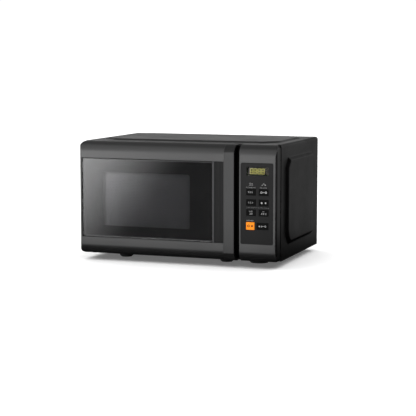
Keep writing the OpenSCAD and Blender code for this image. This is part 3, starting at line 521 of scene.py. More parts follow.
# %% Finish list
FRONT_TONE = (0.010, 0.010, 0.0102)
MAKERS = {
    "front_plastic": lambda n: moulded(n, FRONT_TONE, 0.34, 0.40, dust=0.05, level=0.75),
    "handle_plastic": lambda n: moulded(n, (0.013, 0.013, 0.0132), 0.30, 0.35, level=0.42),
    # Near black and dull: painted shade in the finger groove, and painted shadow lines by the key housing's side and
    # round the glass.
    "groove_black": lambda n: moulded(n, (0.002, 0.002, 0.002), 0.5, 0.6, level=0.08),
    "cabinet_paint": lambda n: moulded(n, (0.026, 0.026, 0.027), 0.36, 0.44, 0.7, 0.02, dust=0.08),
    "rear_paint": lambda n: moulded(n, (0.03, 0.03, 0.031), 0.45, 0.55, 0.7, 0.02),
    "frame_paint": lambda n: moulded(n, (0.05, 0.05, 0.052), 0.35, 0.42, 0.8, 0.01),
    "inner_paint": lambda n: moulded(n, (0.02, 0.02, 0.02), 0.5, 0.6),
    "screen_paint": lambda n: moulded(n, (0.11, 0.11, 0.112), 0.45, 0.55, 0.3, 0.004),
    "cavity_paint": lambda n: moulded(n, (0.42, 0.42, 0.43), 0.28, 0.38, 0.9, 0.008),
    "panel_film": lambda n: moulded(n, (0.010, 0.010, 0.0102), 0.5, 0.58, 0.3, 0.006, level=0.15),
    "key_black": lambda n: moulded(n, (0.0025, 0.0025, 0.0025), 0.5, 0.56, 0.35, 0.008, level=0.06),
    "key_orange": lambda n: moulded(n, (0.98, 0.27, 0.008), 0.45, 0.52, 0.35, 0.006, level=0.2),
    "trim_grey": lambda n: moulded(n, (0.006, 0.006, 0.0062), 0.34, 0.42, 0.4, 0.004, level=0.14),
    "black_plastic": lambda n: moulded(n, (0.014, 0.014, 0.014), 0.45, 0.55),
    "foot_rubber": lambda n: moulded(n, (0.012, 0.012, 0.012), 0.65, 0.8, 0.6, 0.03),
    "white_plastic": lambda n: moulded(n, (0.66, 0.65, 0.62), 0.35, 0.45),
    "switch_plastic": lambda n: moulded(n, (0.07, 0.03, 0.02), 0.4, 0.5),
    "display_case": lambda n: moulded(n, (0.006, 0.007, 0.006), 0.4, 0.5),
    "print_white": lambda n: moulded(n, (0.36, 0.36, 0.36), 0.5, 0.6, 0.2, 0.002),
    "print_grey": lambda n: moulded(n, (0.22, 0.22, 0.22), 0.5, 0.6, 0.2, 0.002),
    "print_brown": lambda n: moulded(n, (0.03, 0.008, 0.002), 0.5, 0.6, 0.2, 0.002, level=0.2),
    "glass_border": lambda n: moulded(n, (0.004, 0.004, 0.004), 0.6, 0.7, 0.3, 0.002),
    "trim_silver": lambda n: metal(n, (0.062, 0.062, 0.064), 0.34, 1400.0, 0.002),
    "zinc_steel": lambda n: metal(n, (0.58, 0.59, 0.6), 0.34, 700.0, 0.004, spangle=0.25),
    "aluminium": lambda n: metal(n, (0.75, 0.76, 0.77), 0.3),
    "screw_steel": lambda n: metal(n, (0.5, 0.5, 0.5), 0.28),
    "spring_steel": lambda n: metal(n, (0.6, 0.6, 0.61), 0.22),
    "magnet_black": lambda n: metal(n, (0.06, 0.06, 0.065), 0.55, depth=0.02),
    "core_steel": lambda n: layered(n, (0.05, 0.05, 0.055), (0.16, 0.16, 0.17), 0.8, "Y", 0.7, 0.45),
    "copper_winding": lambda n: layered(n, (0.3, 0.09, 0.03), (0.75, 0.33, 0.12), 0.9, "Z", 0.8, 0.3),
    "window_glass": lambda n: clear(n, (0.36, 0.36, 0.37), 0.015, 1.5, 0.02),
    "display_lens": lambda n: clear(n, (0.6, 0.58, 0.54), 0.02, 1.1, 0.02),
    "clear_sheet": lambda n: clear(n, (0.86, 0.87, 0.87), 0.05, 1.46, 0.06),
    "bulb_glass": lambda n: clear(n, (0.95, 0.93, 0.88), 0.02),
    "tray_glass": lambda n: clear(n, (0.9, 0.96, 0.95), 0.01, 1.5, 0.02),
    "board": board,
    "mica": mica,
    "digits_lit": lambda n: lit(n, (0.60, 0.60, 0.15), 2.1),
    "symbols_lit": lambda n: lit(n, (0.42, 0.40, 0.46), 1.0),
}
SLOT_OF_EXTRA = {
    "groove_black": "front_plastic",
    "print_white": "key_black", "print_grey": "panel_film", "print_brown": "key_orange",
    "glass_border": "window_glass", "digits_lit": "display_case", "symbols_lit": "display_case",
}
made_finishes = {}


def finish(name):
    """The material of that name, built on first use."""
    if name not in made_finishes:
        made_finishes[name] = MAKERS[name](name)
    return made_finishes[name]


def dress(name, mesh_parts, body, look, hides=(), sharp=32.0):
    """Makes a piece from (points, faces), builds the record slot's finish for it first, then gives it the finish that
    look names.
    """
    points, faces = mesh_parts
    piece = add_piece(name, points, faces, body, SLOT_OF_EXTRA.get(look, look), hides, sharp)
    piece.data.materials[0] = finish(look)
    return piece


# %% Finishes on the solids that stay
for part in frame["record"]["subparts"]:
    solid = nodes[part["node"]]
    solid.data.materials.clear()
    solid.data.materials.append(finish(part["material_slot"]))
print("finishes on solids:", len(made_finishes))

# %% [markdown]
# ## The steel case
# One sheet is folded over the oven like a U. Its top and both sides carry a raised pressed panel with cut
# corners. Here the sheet is one grid: across it the fold's path runs up the left side, over and down the right,
# and along it the depth. The press lifts each point by a smooth step of its distance inside an eight-sided
# outline. Sample lines crowd together where the metal bends.

# %% Sample lines
def samples(*runs):
    """Positions along a line, in metres: each run is (start, end, step) in millimetres, dense where it bends."""
    parts = [np.linspace(a, b, max(int(round((b - a) / step)), 1), endpoint=False) for a, b, step in runs]
    return np.append(np.concatenate(parts), runs[-1][1]) * MM


def smooth_step(t):
    """0 to 1 with level ends: t squared times three minus two t."""
    t = np.clip(t, 0, 1)
    return t * t * (3 - 2 * t)


def octagon_depth(u, v, u0, u1, v0, v1, cut):
    """Distance inside a rectangle with cut corners: the least distance to its four sides and four cuts."""
    straight = np.minimum(np.minimum(u - u0, u1 - u), np.minimum(v - v0, v1 - v))
    near_u, near_v = np.minimum(u - u0, u1 - u), np.minimum(v - v0, v1 - v)
    return np.minimum(straight, (near_u + near_v - cut) / math.sqrt(2))


# %% Case surface
CASE_X = 0.220
FOLD_R = 0.006
SIDE_OUT = case.x1 - CASE_X
TOP_OUT = case.z1 - TOP_Z
PRESS_Y = (FACE_Y + 0.060, FACE_Y + 0.279)
SIDE_PRESS = (*PRESS_Y, BASE_Z + 0.030, BASE_Z + 0.213, 0.020)  # front, rear, low, high, cut of the corners
TOP_PRESS = (-0.202, 0.202, *PRESS_Y, 0.034)  # left, right, front, rear, cut of the corners
SIDE_SLOPE, TOP_SLOPE = 0.0085, 0.0095
FLANGE = ((0.0004, 0.0003), (0.0012, 0.0), (0.010, 0.0))  # inwards from the fold, forwards from the rear
SHEET = 0.0008
HAIR = 1e-6

side_line = samples((14, 40, 4), (40, 62, 1.2), (62, 196, 6), (196, 232, 1.2), (232, 249, 4))
bend = np.linspace(0, math.pi / 2, 8)[1:-1]
top_line = samples((-214, -204, 3), (-204, -158, 1.5), (-158, 158, 7), (158, 204, 1.5), (204, 214, 3))
depth_line = samples((0, 24, 4), (24, 56, 1.2), (56, 220, 6), (220, 254, 1.2), (254, 279.4, 4)) + case.y0

# Path of the fold: left side upwards, bend, top to the right, bend, right side downwards.
path_x = np.concatenate([
    -CASE_X + 0 * side_line, -CASE_X + FOLD_R - FOLD_R * np.cos(bend), top_line,
    CASE_X - FOLD_R + FOLD_R * np.sin(bend), CASE_X + 0 * side_line,
])
path_z = np.concatenate([
    side_line, TOP_Z - FOLD_R + FOLD_R * np.sin(bend), TOP_Z + 0 * top_line,
    TOP_Z - FOLD_R + FOLD_R * np.cos(bend), side_line[::-1],
])


def case_surface(inward):
    """The folded sheet, moved inwards by that much. Rear rows turn in to the 10 mm flange."""
    x, y = np.meshgrid(path_x, depth_line, indexing="ij")
    z = np.meshgrid(path_z, depth_line, indexing="ij")[0]
    side, over = octagon_depth(y, z, *SIDE_PRESS), octagon_depth(x, y, *TOP_PRESS)
    lift_side = SIDE_OUT * smooth_step(side / SIDE_SLOPE) * (np.abs(x) > CASE_X - HAIR)
    lift_top = TOP_OUT * smooth_step(over / TOP_SLOPE) * (z > TOP_Z - HAIR)
    x = x + np.sign(x) * (lift_side - inward * (np.abs(x) > CASE_X - FOLD_R - HAIR))
    z = z + lift_top - inward * (z > TOP_Z - FOLD_R - HAIR)
    sheet = np.stack([x, y, z], -1)
    flange = []
    for inset, back in FLANGE:
        edge = sheet[:, -1].copy()
        edge[:, 0] = np.clip(path_x, -CASE_X + inset, CASE_X - inset)
        edge[:, 2] = np.minimum(path_z, TOP_Z - inset)
        edge[:, 1] = case.y1 - back - inward
        flange.append(edge)
    return np.concatenate([sheet, np.stack(flange, 1)], 1)


outer, inner = case_surface(0.0), case_surface(SHEET)
rows, columns = outer.shape[:2]
ribbon = np.concatenate([outer, inner[:, ::-1]], 1)
case_points, case_faces = ribbon.reshape(-1, 3), grid_faces(rows, 2 * columns, False, True)
for row, flip in ((0, False), (rows - 1, True)):
    k = np.arange(columns - 1)
    a = row * 2 * columns + k
    b = row * 2 * columns + 2 * columns - 1 - k
    quads = np.stack([a, a + 1, b - 1, b], -1)
    case_faces += (quads[:, ::-1] if flip else quads).tolist()
steel_case = dress("steel_case", (case_points, case_faces), "root", "cabinet_paint", ["outer_cabinet"], 40)
print("case faces:", len(case_faces))

# %% [markdown]
# ## The moulded front
# Door and key housing are mouldings of one family. Seen from the side their top and bottom edges are quarter
# circles of 22 mm. Seen from the front their outer corners are rounded, and in plan their outer edge is too. A
# loop of points at depth d below the face takes the plain outline and clamps it: the height to the side curve,
# the width to the plan curve. Stacking such loops from the window's ledge, over the face, round the rim and back
# along the inside gives a closed wall. On the hinge side the door's rear edge is rounded too, so that it clears the
# case as it swings.

# %% Moulding
ROUND = 0.022
WALL = 0.003
SHARP = 0.0004  # radius of an edge that looks crisp
PLAN_R = 0.005
LOW_CORNER, HIGH_CORNER = 0.007, 0.009
HINGE_START, HINGE_R = 0.019, 0.010


def cut_back(radius, depth):
    """How far a quarter-circle edge of that radius lies inside its side at that depth below the face."""
    rest = np.clip(radius - depth, 0, radius)
    return radius - math.sqrt(radius * radius - rest * rest)


def front_loop(x0, x1, corners, plan, depth, inset=0.0, hinge=False, face=0.0):
    """The moulding's outline at a depth below its face, moved inwards by inset, as points in space."""
    radii = [max(r - inset, 0.0003) for r in corners]
    flat = rounded(x0 + inset, x1 - inset, BASE_Z + inset, TOP_Z - inset, radii)
    local = max(depth - inset, 0.0)
    kz = cut_back(ROUND - inset, local)
    left, right = (cut_back(max(r - inset, SHARP), local) for r in plan)
    if hinge and depth > HINGE_START:
        r = HINGE_R - inset
        left += r - math.sqrt(max(r * r - (depth - HINGE_START) ** 2, 0.0))
    flat[:, 0] = np.clip(flat[:, 0], x0 + inset + left, x1 - inset - right)
    flat[:, 1] = np.clip(flat[:, 1], BASE_Z + inset + kz, TOP_Z - inset - kz)
    return at_y(flat, FACE_Y + face + depth)


def moulding(x0, x1, corners, plan, window, window_r, ledge, recess, back, hinge=False):
    """Closed wall of a front moulding with a window: ledge, recess wall, face, rim, and the inside again."""
    wx0, wx1, wz0, wz1 = window
    hole = lambda k, r, y: at_y(rounded(wx0 + k, wx1 - k, wz0 + k, wz1 - k, [max(r - k, 3e-4)] * 4), FACE_Y + y)
    loops = [
        hole(ledge, window_r, recess + 0.0015), hole(ledge, window_r, recess + 0.0002),
        hole(ledge - 0.0002, window_r, recess), hole(0.0, window_r, recess),
        hole(0.0, window_r, 0.0004), hole(-0.00015, window_r, 0.0001), hole(-0.0004, window_r, 0.0),
        hole(-0.0009, window_r, 0.0),
    ]
    loops.append(front_loop(x0, x1, corners, plan, 0.0))
    turn = np.linspace(0, math.pi / 2, 15)[1:]
    depths = sorted({round(d, 6) for d in [*(ROUND * (1 - np.cos(turn))), *(PLAN_R * (1 - np.cos(turn[::2])))]})
    depths += [d for d in (0.0235, 0.0255, 0.027) if d < back - 0.0004]
    loops += [front_loop(x0, x1, corners, plan, d, hinge=hinge) for d in depths]
    loops.append(front_loop(x0, x1, corners, plan, back - 0.0003, hinge=hinge))
    edge = front_loop(x0, x1, corners, plan, back, 0.0003, hinge)
    loops += [edge, front_loop(x0, x1, corners, plan, back, WALL, hinge)]
    inside = [d for d in depths[::-2] if d > WALL]
    loops += [front_loop(x0, x1, corners, plan, d, WALL, hinge) for d in inside]
    loops.append(front_loop(x0, x1, corners, plan, WALL + 1e-5, WALL))
    loops.append(hole(-0.0025, window_r, WALL + 1e-5))
    loops.append(hole(-0.0025, window_r, recess + 0.0015))
    return stack(loops, closed=True)


# %% Door wall
DOOR_DEEP = 0.029
FACE_X1 = 0.121  # right edge of the door's face, under the handle
WINDOW_GAP, WINDOW_X1 = 0.0002, 0.106
WINDOW = (glass.x0 - WINDOW_GAP, WINDOW_X1, glass.z0 - WINDOW_GAP, glass.z1 + WINDOW_GAP)
door_wall = moulding(
    door.x0, FACE_X1, (LOW_CORNER, SHARP, SHARP, HIGH_CORNER), plan=(PLAN_R, SHARP), window=WINDOW,
    window_r=0.0012, ledge=0.004, recess=0.004, back=DOOR_DEEP, hinge=True,
)
print("door wall faces:", len(door_wall[1]))

# %% [markdown]
# ## Room for the hinge tabs
# Two steel tabs reach from the frame to the pins inside the door. The door wall needs a slot for each, which a
# boolean cut makes. The cut is worked out once and stored, so the finished piece has no live modifier.


# %% Slots in the door wall
def cut_away(piece, boxes):
    """Replaces the piece's mesh with its difference from the boxes, each given as low and high corners."""
    mesh = bpy.data.meshes.new("cutter")
    parts = []
    for low, high in boxes:
        (a, b, c), (d, e, f) = low, high
        points = [(a, b, c), (d, b, c), (d, e, c), (a, e, c), (a, b, f), (d, b, f), (d, e, f), (a, e, f)]
        faces = [[3, 2, 1, 0], [4, 5, 6, 7], [0, 1, 5, 4], [1, 2, 6, 5], [2, 3, 7, 6], [3, 0, 4, 7]]
        parts.append((points, faces))
    points, faces = join(parts)
    mesh.from_pydata(points.tolist(), [], faces)
    cutter = bpy.data.objects.new("cutter", mesh)
    bpy.context.scene.collection.objects.link(cutter)
    cut = piece.modifiers.new("cut", "BOOLEAN")
    cut.object, cut.operation, cut.solver = cutter, "DIFFERENCE", "EXACT"
    graph = bpy.context.evaluated_depsgraph_get()
    result = bpy.data.meshes.new_from_object(piece.evaluated_get(graph))
    piece.modifiers.clear()
    old = piece.data
    piece.data = result
    bpy.data.meshes.remove(old)
    bpy.data.objects.remove(cutter)
    bpy.data.meshes.remove(mesh)
    result.name = piece.name
    result.set_sharp_from_angle(angle=math.radians(32))


door_shell = dress("door_shell", door_wall, "door", "front_plastic", ["door_frame"])
TAB_X, TAB_Y = (-0.2215, -0.2035), (-0.1512, -0.1330)
TAB_HEIGHTS = ((0.0224, 0.0266), (0.2424, 0.2466))
cut_away(door_shell, [((TAB_X[0], TAB_Y[0], low), (TAB_X[1], TAB_Y[1], high)) for low, high in TAB_HEIGHTS])
print("door shell faces:", len(door_shell.data.polygons))

# %% [markdown]
# ## The finger groove
# Right of the handle the door is set back, so that fingers reach behind the grip. That part is a thinner
# moulding whose face lies 18 mm behind the door's face. It is the front's own plastic, made near black as
# painted shade in the recess.

# %% Groove wall
GROOVE = 0.018
GROOVE_X0 = 0.1155


def groove_wall():
    """Closed wall of the groove: its outline from the groove's face round the rim and back inside."""
    back = DOOR_DEEP - GROOVE
    loop = lambda d, inset=0.0: front_loop(GROOVE_X0, door.x1, (SHARP,) * 4, (SHARP, SHARP), d, inset, face=GROOVE)
    outside = [loop(d) for d in (0.0, 0.0006, 0.0016, 0.003, 0.0055, 0.0085, back - 0.0002)]
    inside = [loop(d, WALL) for d in (back, 0.0085, WALL + 1e-5)]
    return stack(outside + [loop(back, 0.0003)] + inside)


# The groove's near-black finish is painted shade: it is the same plastic as the front.
dress("door_groove", groove_wall(), "door", "groove_black")
print("groove", round(door.x1 - bar.x1, 4), "m wide beside the grip")

# %% [markdown]
# ## Handle
# The grip is a bar with a flat face. Near its ends the face slopes back in two steps that follow the front's
# rounding. In plan the bar is a rectangle with softened front corners, and the part over the groove is open
# behind. The bar is a stack of such plan sections from top to bottom.

# %% Handle bar
# Each pair is a distance from the end of the front, and how far the grip's face lies back there, in metres.
GRIP_TOP = (
    (0.0004, 0.0185), (0.0010, 0.0162), (0.0040, 0.0100), (0.0047, 0.0091), (0.0142, 0.0008), (0.0150, 0.0003),
    (0.0160, 0.0), (0.0168, 0.0),
)
GRIP_BASE = (
    (0.0180, 0.0), (0.0172, 0.0), (0.0160, 0.0003), (0.0152, 0.0010), (0.0048, 0.0091), (0.0040, 0.0100),
    (0.0010, 0.0162), (0.0004, 0.0185),
)
GRIP_MIDDLE = 0.15
GRIP_LIP, GRIP_THIN = 0.0078, 0.0012


def handle_bar():
    """Plan sections: the front follows the side outline, and the back follows the front's own rounding."""
    side = [(TOP_Z - away, depth) for away, depth in GRIP_TOP] + [(GRIP_MIDDLE, 0.0)]
    side += [(BASE_Z + away, depth) for away, depth in GRIP_BASE]
    back_low, back_high = BASE_Z + 0.0025, TOP_Z - 0.0025
    loops = []
    for z, depth in side:
        near = max(min(z - back_low, back_high - z), 0.0)
        back = max(GRIP_LIP + cut_back(ROUND, near), depth + GRIP_THIN)
        outline = rounded(bar.x0, bar.x1, bar.y0 + depth, bar.y0 + back, [0.0011, 0.0016, 0.0008, 0.0003], 4)
        loops.append(at_z(outline, z))
    return stack(loops)


dress("handle_bar", handle_bar(), "door", "handle_plastic", ["handle"], 28)
print("handle", round(bar.z1 - bar.z0, 3), "m tall")

# %% [markdown]
# ## Key housing
# The right part of the front is the same moulding with its own window, which frames the key panel. The panel
# lies on a narrow ledge. A thin black strip just behind the face's right edge is painted shade: it draws the
# shadow line where the moulding's face turns into its side.

# %% Housing
PANEL_GAP = 0.00015
PANEL = (film.x0 - PANEL_GAP, film.x1 + PANEL_GAP, film.z0 - PANEL_GAP, film.z1 + PANEL_GAP)
fascia_wall = moulding(
    fascia.x0, fascia.x1, (SHARP, LOW_CORNER, HIGH_CORNER, SHARP), plan=(0.0015, 0.0022), window=PANEL,
    window_r=0.003, ledge=0.0027, recess=0.0024, back=0.032,
)
dress("key_housing", fascia_wall, "root", "front_plastic", ["control_fascia"])
# A black strip just behind the housing's face: a painted shadow line where face meets side.
dress(
    "side_seam",
    slab(fascia.x1 - 0.0008, fascia.x1 + 0.00005, FACE_Y + 0.0024, FACE_Y + 0.0078, BASE_Z + 0.014, TOP_Z - 0.013),
    "root", "groove_black",
)
print("housing faces:", len(fascia_wall[1]))

# %% [markdown]
# ## Window of the door
# Tinted glass covers most of the door. Behind it a black printed border leaves a clear field with soft corners,
# and behind that is the perforated screen. Beside the glass run a thin bright line and a ribbed insert. A thin
# black lip on the rim of the glass is painted shade: it draws the dark shadow line round the window.

# %% Glass, border, line and insert
screen = Box("door_screen")
insert, line = Box("trim_insert"), Box("trim_line")
pane = dress(
    "glass_pane", slab(glass.x0, glass.x1, glass.y0, glass.y1, glass.z0, glass.z1, 0.0012, 0.0005),
    "door", "window_glass", ["door_glass"],
)


def flat_frame(outside, inside, y0, y1):
    """A flat ring between two outlines with the same number of points, from depth y0 to y1."""
    return stack([at_y(outside, y0), at_y(outside, y1), at_y(inside, y1), at_y(inside, y0)], closed=True)


BORDER_X1 = 0.1014


def printed_border(field_r=0.006, lap=0.0044):
    """A thin black frame behind the glass: outer outline at the ledge, inner outline at the clear field."""
    out = rounded(glass.x0 + lap, BORDER_X1, glass.z0 + lap, glass.z1 - lap, [0.001] * 4, 10)
    field = rounded(screen.x0 + 0.0002, screen.x1 - 0.0002, screen.z0 + 0.0006, screen.z1 - 0.0002, [field_r] * 4, 10)
    return flat_frame(out, field, glass.y1 + 0.00005, glass.y1 + 0.00015)


dress("glass_border", printed_border(), "door", "glass_border")
dress(
    "bright_line", slab(line.x0, line.x1, line.y0, line.y1, line.z0, line.z1, 0.0006, 0.0006),
    "door", "trim_silver", ["trim_line"],
)


def ribbed_insert(ribs=7):
    """A strip whose face ripples: in plan the front is a row of shallow arcs, carried straight up."""
    across = np.linspace(0, 1, ribs * 8 + 1)
    ripple = 0.00035 * (1 - np.abs(np.sin(across * ribs * math.pi)))
    x = insert.x0 + across * (insert.x1 - insert.x0)
    front = np.stack([x, insert.y0 + ripple], -1)
    back = np.array([(insert.x1, insert.y1), (insert.x0, insert.y1)])
    plan = np.concatenate([front, back])
    heights = [insert.z1, insert.z1 - 0.0003, insert.z0 + 0.0003, insert.z0]
    return stack([at_z(plan, z) for z in heights])


def window_seal(width=0.0012):
    """A thin black lip on the rim of the glass, a painted shadow line round the window: outer outline at its edge,
    inner outline set in.
    """
    span = glass.x0 + 0.0001, line.x0 - 0.0004, glass.z0 + 0.0001, glass.z1 - 0.0001
    out = rounded(*span, [0.0016] * 4, 8)
    inner = rounded(span[0] + width, span[1] - width, span[2] + width, span[3] - width, [0.0008] * 4, 8)
    return flat_frame(out, inner, glass.y0 - 0.0005, glass.y0 - 0.00005)


# The black lip round the glass is painted shade, a shadow line at the window's rim.
dress("window_seal", window_seal(), "door", "groove_black")
dress("ribbed_insert", ribbed_insert(), "door", "trim_grey", ["trim_insert"], 50)
print("window", round(glass.x1 - glass.x0, 3), "by", round(glass.z1 - glass.z0, 3))

# %% [markdown]
# ## Perforated screen
# The screen lets light out and keeps the waves in. Its holes are real. The sheet is divided into square cells on
# a lattice with half-cell steps. Round each cell's centre eight points lie on the lattice and eight on the hole's
# edge, and quads join them. Neighbouring cells share their lattice points, so the sheet is one closed surface.


# %% Screen sheet
def perforated(x0, x1, z0, z1, y0, y1, pitch, hole_r):
    """Quads of a sheet with a round hole per cell: front face, back face, hole walls and the sheet's rim."""
    nx, nz = int((x1 - x0) / pitch), int((z1 - z0) / pitch)
    gx, gz = np.linspace(x0, x1, 2 * nx + 1), np.linspace(z0, z1, 2 * nz + 1)
    lattice = np.stack(np.meshgrid(gx, gz, indexing="ij"), -1).reshape(-1, 2)
    i, j = (a.reshape(-1) for a in np.meshgrid(np.arange(nx), np.arange(nz), indexing="ij"))
    steps = np.array([(2, 1), (2, 2), (1, 2), (0, 2), (0, 1), (0, 0), (1, 0), (2, 0)])
    at = lambda a, b: a * (2 * nz + 1) + b
    outer_ids = at(2 * i[:, None] + steps[:, 0], 2 * j[:, None] + steps[:, 1])
    turn = np.arange(8) * math.pi / 4
    ring = hole_r * np.stack([np.cos(turn), np.sin(turn)], -1)
    middle = np.stack([gx[2 * i + 1], gz[2 * j + 1]], -1)
    holes = (middle[:, None] + ring).reshape(-1, 2)
    flat = np.concatenate([lattice, holes])
    used = np.ones(len(flat), bool)
    used[at(2 * i + 1, 2 * j + 1)] = False
    renumber = np.cumsum(used) - 1
    inner_ids = len(lattice) + np.arange(len(holes)).reshape(-1, 8)
    o, n = renumber[outer_ids], renumber[inner_ids]
    o2, n2 = np.roll(o, -1, 1), np.roll(n, -1, 1)
    flat = flat[used]
    count = len(flat)
    front = np.stack([n, o, o2, n2], -1).reshape(-1, 4)
    walls = np.stack([n, n2, n2 + count, n + count], -1).reshape(-1, 4)
    back = front[:, ::-1] + count
    edge_ids = np.concatenate([
        at(np.arange(2 * nx), 0), at(2 * nx, np.arange(2 * nz)),
        at(np.arange(2 * nx, 0, -1), 2 * nz), at(0, np.arange(2 * nz, 0, -1)),
    ])
    e = renumber[edge_ids]
    e2 = np.roll(e, -1)
    rim = np.stack([e, e + count, e2 + count, e2], -1)
    points = np.concatenate([at_y(flat, y0), at_y(flat, y1)])
    return points, np.concatenate([front, back, walls, rim]).tolist()


HOLE_PITCH, HOLE_R = 0.0032, 0.0010
screen_sheet = dress(
    "screen_sheet",
    perforated(screen.x0, screen.x1, screen.z0, screen.z1, screen.y0, screen.y1, HOLE_PITCH, HOLE_R),
    "door", "screen_paint", ["door_screen"], 25,
)
print("screen faces:", len(screen_sheet.data.polygons))

# %% [markdown]
# ## Keys
# Each key is a cap with rounded corners and a shallow dish, a rim behind the panel and a short stem. The cap
# stops just behind the face of its solid, which leaves room for the printed marks. Cap, rim and marks ride on the
# key's own body and move with it.


# %% Key caps
def key_cap(box):
    """Loops from the dish outwards over the cap's edge, then the rim slab and the stem behind the panel."""
    face = box.y0 + 0.00004
    x0, x1, z0, z1 = box.x0 + 0.0012, box.x1 - 0.0012, box.z0 + 0.0012, box.z1 - 0.0012
    loop = lambda k, y: at_y(rounded(x0 + k, x1 - k, z0 + k, z1 - k, [max(0.0013 - k * 0.4, 0.0003)] * 4), y)
    dish = [loop(0.0045, face + 0.00016), loop(0.0034, face + 0.00014), loop(0.0022, face + 0.00007)]
    cap = dish + [loop(0.0010, face), loop(0.0005, face), loop(0.00015, face + 0.00012), loop(0.0, face + 0.0004)]
    cap.append(loop(0.0, box.y0 + 0.0027))
    rim = slab(box.x0, box.x1, box.y0 + 0.0025, box.y0 + 0.0033, box.z0, box.z1, 0.0006, 0.0002)
    cx, cz = (x0 + x1) / 2, (z0 + z1) / 2
    stem = stack(lathe([(0.002, box.y0 + 0.0032), (0.002, box.y1)], (cx, 0, cz), "y", 20))
    return join([stack(cap), rim, stem])


KEY_NODES = [
    "key_row1_left", "key_row1_right", "key_row2_left", "key_row2_right", "key_row3_left", "key_row3_right",
    "key_cancel", "key_start",
]
key_box = {name: Box(name) for name in KEY_NODES}
for name in KEY_NODES:
    look = "key_orange" if name == "key_cancel" else "key_black"
    dress(name + "_cap", key_cap(key_box[name]), name, look, [name], 30)
print("keys:", len(KEY_NODES))

# %% [markdown]
# ## Cavity
# The cavity is a deep drawn box: four walls and a back with rounded corners between them, open at the front. Its
# wall is one closed surface, out along the inside and back along the outside.

# %% Cavity liner
shell = Box("cavity_shell")
LINER = 0.0008
LINER_R, LINER_OUTSIDE_R = 0.006, 0.0068


def cavity_inside():
    """Rounded outlines of the inside: the front edge, the walls, the back's rounded edge and its flat back."""
    x0, x1, z0, z1 = shell.x0 + LINER, shell.x1 - LINER, shell.z0 + LINER, shell.z1 - LINER
    back = shell.y1 - LINER
    loop = lambda k, y: at_y(rounded(x0 + k, x1 - k, z0 + k, z1 - k, [max(LINER_R - k, 0.0006)] * 4), y)
    turn = np.linspace(0, math.pi / 2, 6)[1:]
    edge = [loop(0.005 * (1 - math.cos(t)), back - LINER_R + 0.006 * math.sin(t)) for t in turn]
    return [loop(0.0, shell.y0), loop(0.0, back - LINER_R), *edge, loop(0.010, back)]


def cavity_skin():
    """Inside outlines from back to front, then outside ones from front to back: one wall, both backs closed."""
    outside = rounded(shell.x0, shell.x1, shell.z0, shell.z1, [LINER_OUTSIDE_R] * 4)
    return stack(cavity_inside()[::-1] + [at_y(outside, y) for y in (shell.y0, shell.y1 - 0.0001, shell.y1)])


dress("cavity_liner", cavity_skin(), "root", "cavity_paint", ["cavity_shell"], 40)
print("cavity", round(shell.x1 - shell.x0, 3), "wide")

# %% [markdown]
# ## Printed marks
# The marks are generic signs: dots, bars, rings, waves and arrows. Each is a very thin raised shape, drawn by a
# list of strokes in millimetres from the middle of its key. A stroke is a bar from point to point with a width,
# and a dot or a ring is a lathe of a flat profile.


# %% Strokes
def stroke(x, z, ax, az, bx, bz, width, y, thick=0.00003):
    """A bar from a to b about (x, z): four corners offset sideways by half the width, with two depths."""
    a, b = np.array([x + ax * MM, z + az * MM]), np.array([x + bx * MM, z + bz * MM])
    along = (b - a) / np.linalg.norm(b - a)
    side = np.array([-along[1], along[0]]) * width * MM / 2
    flat = np.array([a - side, b - side, b + side, a + side])
    return stack([at_y(flat, y - thick), at_y(flat, y)])


def ring_mark(x, z, r, width, y, thick=0.00003, around=24):
    """A flat ring, or a dot when the width equals the radius."""
    inner_r = max((r - width) * MM, 1e-5)
    profile = [(inner_r, y), (r * MM, y), (r * MM, y - thick), (inner_r, y - thick)]
    return stack(lathe(profile, (x, 0, z), "y", around), closed=True)


def marks(x, z, y, strokes=(), rings=()):
    parts = [stroke(x, z, *s, y) for s in strokes]
    parts += [ring_mark(x + r[0] * MM, z + r[1] * MM, r[2], r[3], y) for r in rings]
    return join(parts)


def word(x0, x1, z, height, seed):
    """A row of cells, each with three flat bars of uneven length: a label from afar that holds no letters."""
    rng = np.random.default_rng(seed)
    strokes, x = [], x0
    while x < x1 - height * 0.5:
        w = height * rng.uniform(0.75, 1.0)
        for level in (-0.4, 0.0, 0.4):
            a, b = x + w * rng.uniform(0.0, 0.3), x + w * rng.uniform(0.7, 1.0)
            strokes.append((a, z + level * height, b, z + level * height, height * 0.17))
        x += w + height * 0.28
    return strokes


# %% Marks on the keys
KEY_MARKS = {
    "key_row1_left": ("print_white", word(-6.5, 6.2, 0, 3.4, 3), ()),
    "key_row1_right": ("print_white", [(-2.0, 0, 2.2, 0, 0.9)], [(-4.8, 0, 2.1, 0.9), (5.0, 0, 2.1, 0.9)]),
    "key_row2_left": ("print_grey", word(-6.2, 6.4, 0, 3.4, 8), ()),
    "key_row2_right": ("print_white", [], [(-4.1, 0, 1.8, 1.8), (4.2, 0, 1.6, 1.6)]),
    "key_row3_left": ("print_white", word(-4, 4.4, 2.6, 2.2, 5) + word(-3, 3, -2.2, 3.2, 6), ()),
    "key_row3_right": ("print_white", word(-2, 3, 2.8, 1.8, 7) + word(-5.6, 5.4, -1.6, 3.4, 9), ()),
    "key_cancel": ("print_brown", [(1.6, -2.1, 6.0, 2.1, 1.3), (1.6, 2.1, 6.0, -2.1, 1.3)], [(-4.0, 0, 2.7, 1.3)]),
    "key_start": ("print_white", [(-2.4, 0, 3.6, 0, 0.7), (-2.4, 1.5, -0.4, 0, 0.8), (-2.4, -1.5, -0.4, 0, 0.8)],
                  [(6.2, 0, 1.9, 0.8), (-6.4, 0, 1.5, 1.5)]),
}
for name, (look, strokes, rings) in KEY_MARKS.items():
    box = key_box[name]
    y = box.y0 + 0.00009
    dress(name + "_marks", marks(*((box.x0 + box.x1) / 2, (box.z0 + box.z1) / 2), y, strokes, rings), name, look)
print("marked keys:", len(KEY_MARKS))

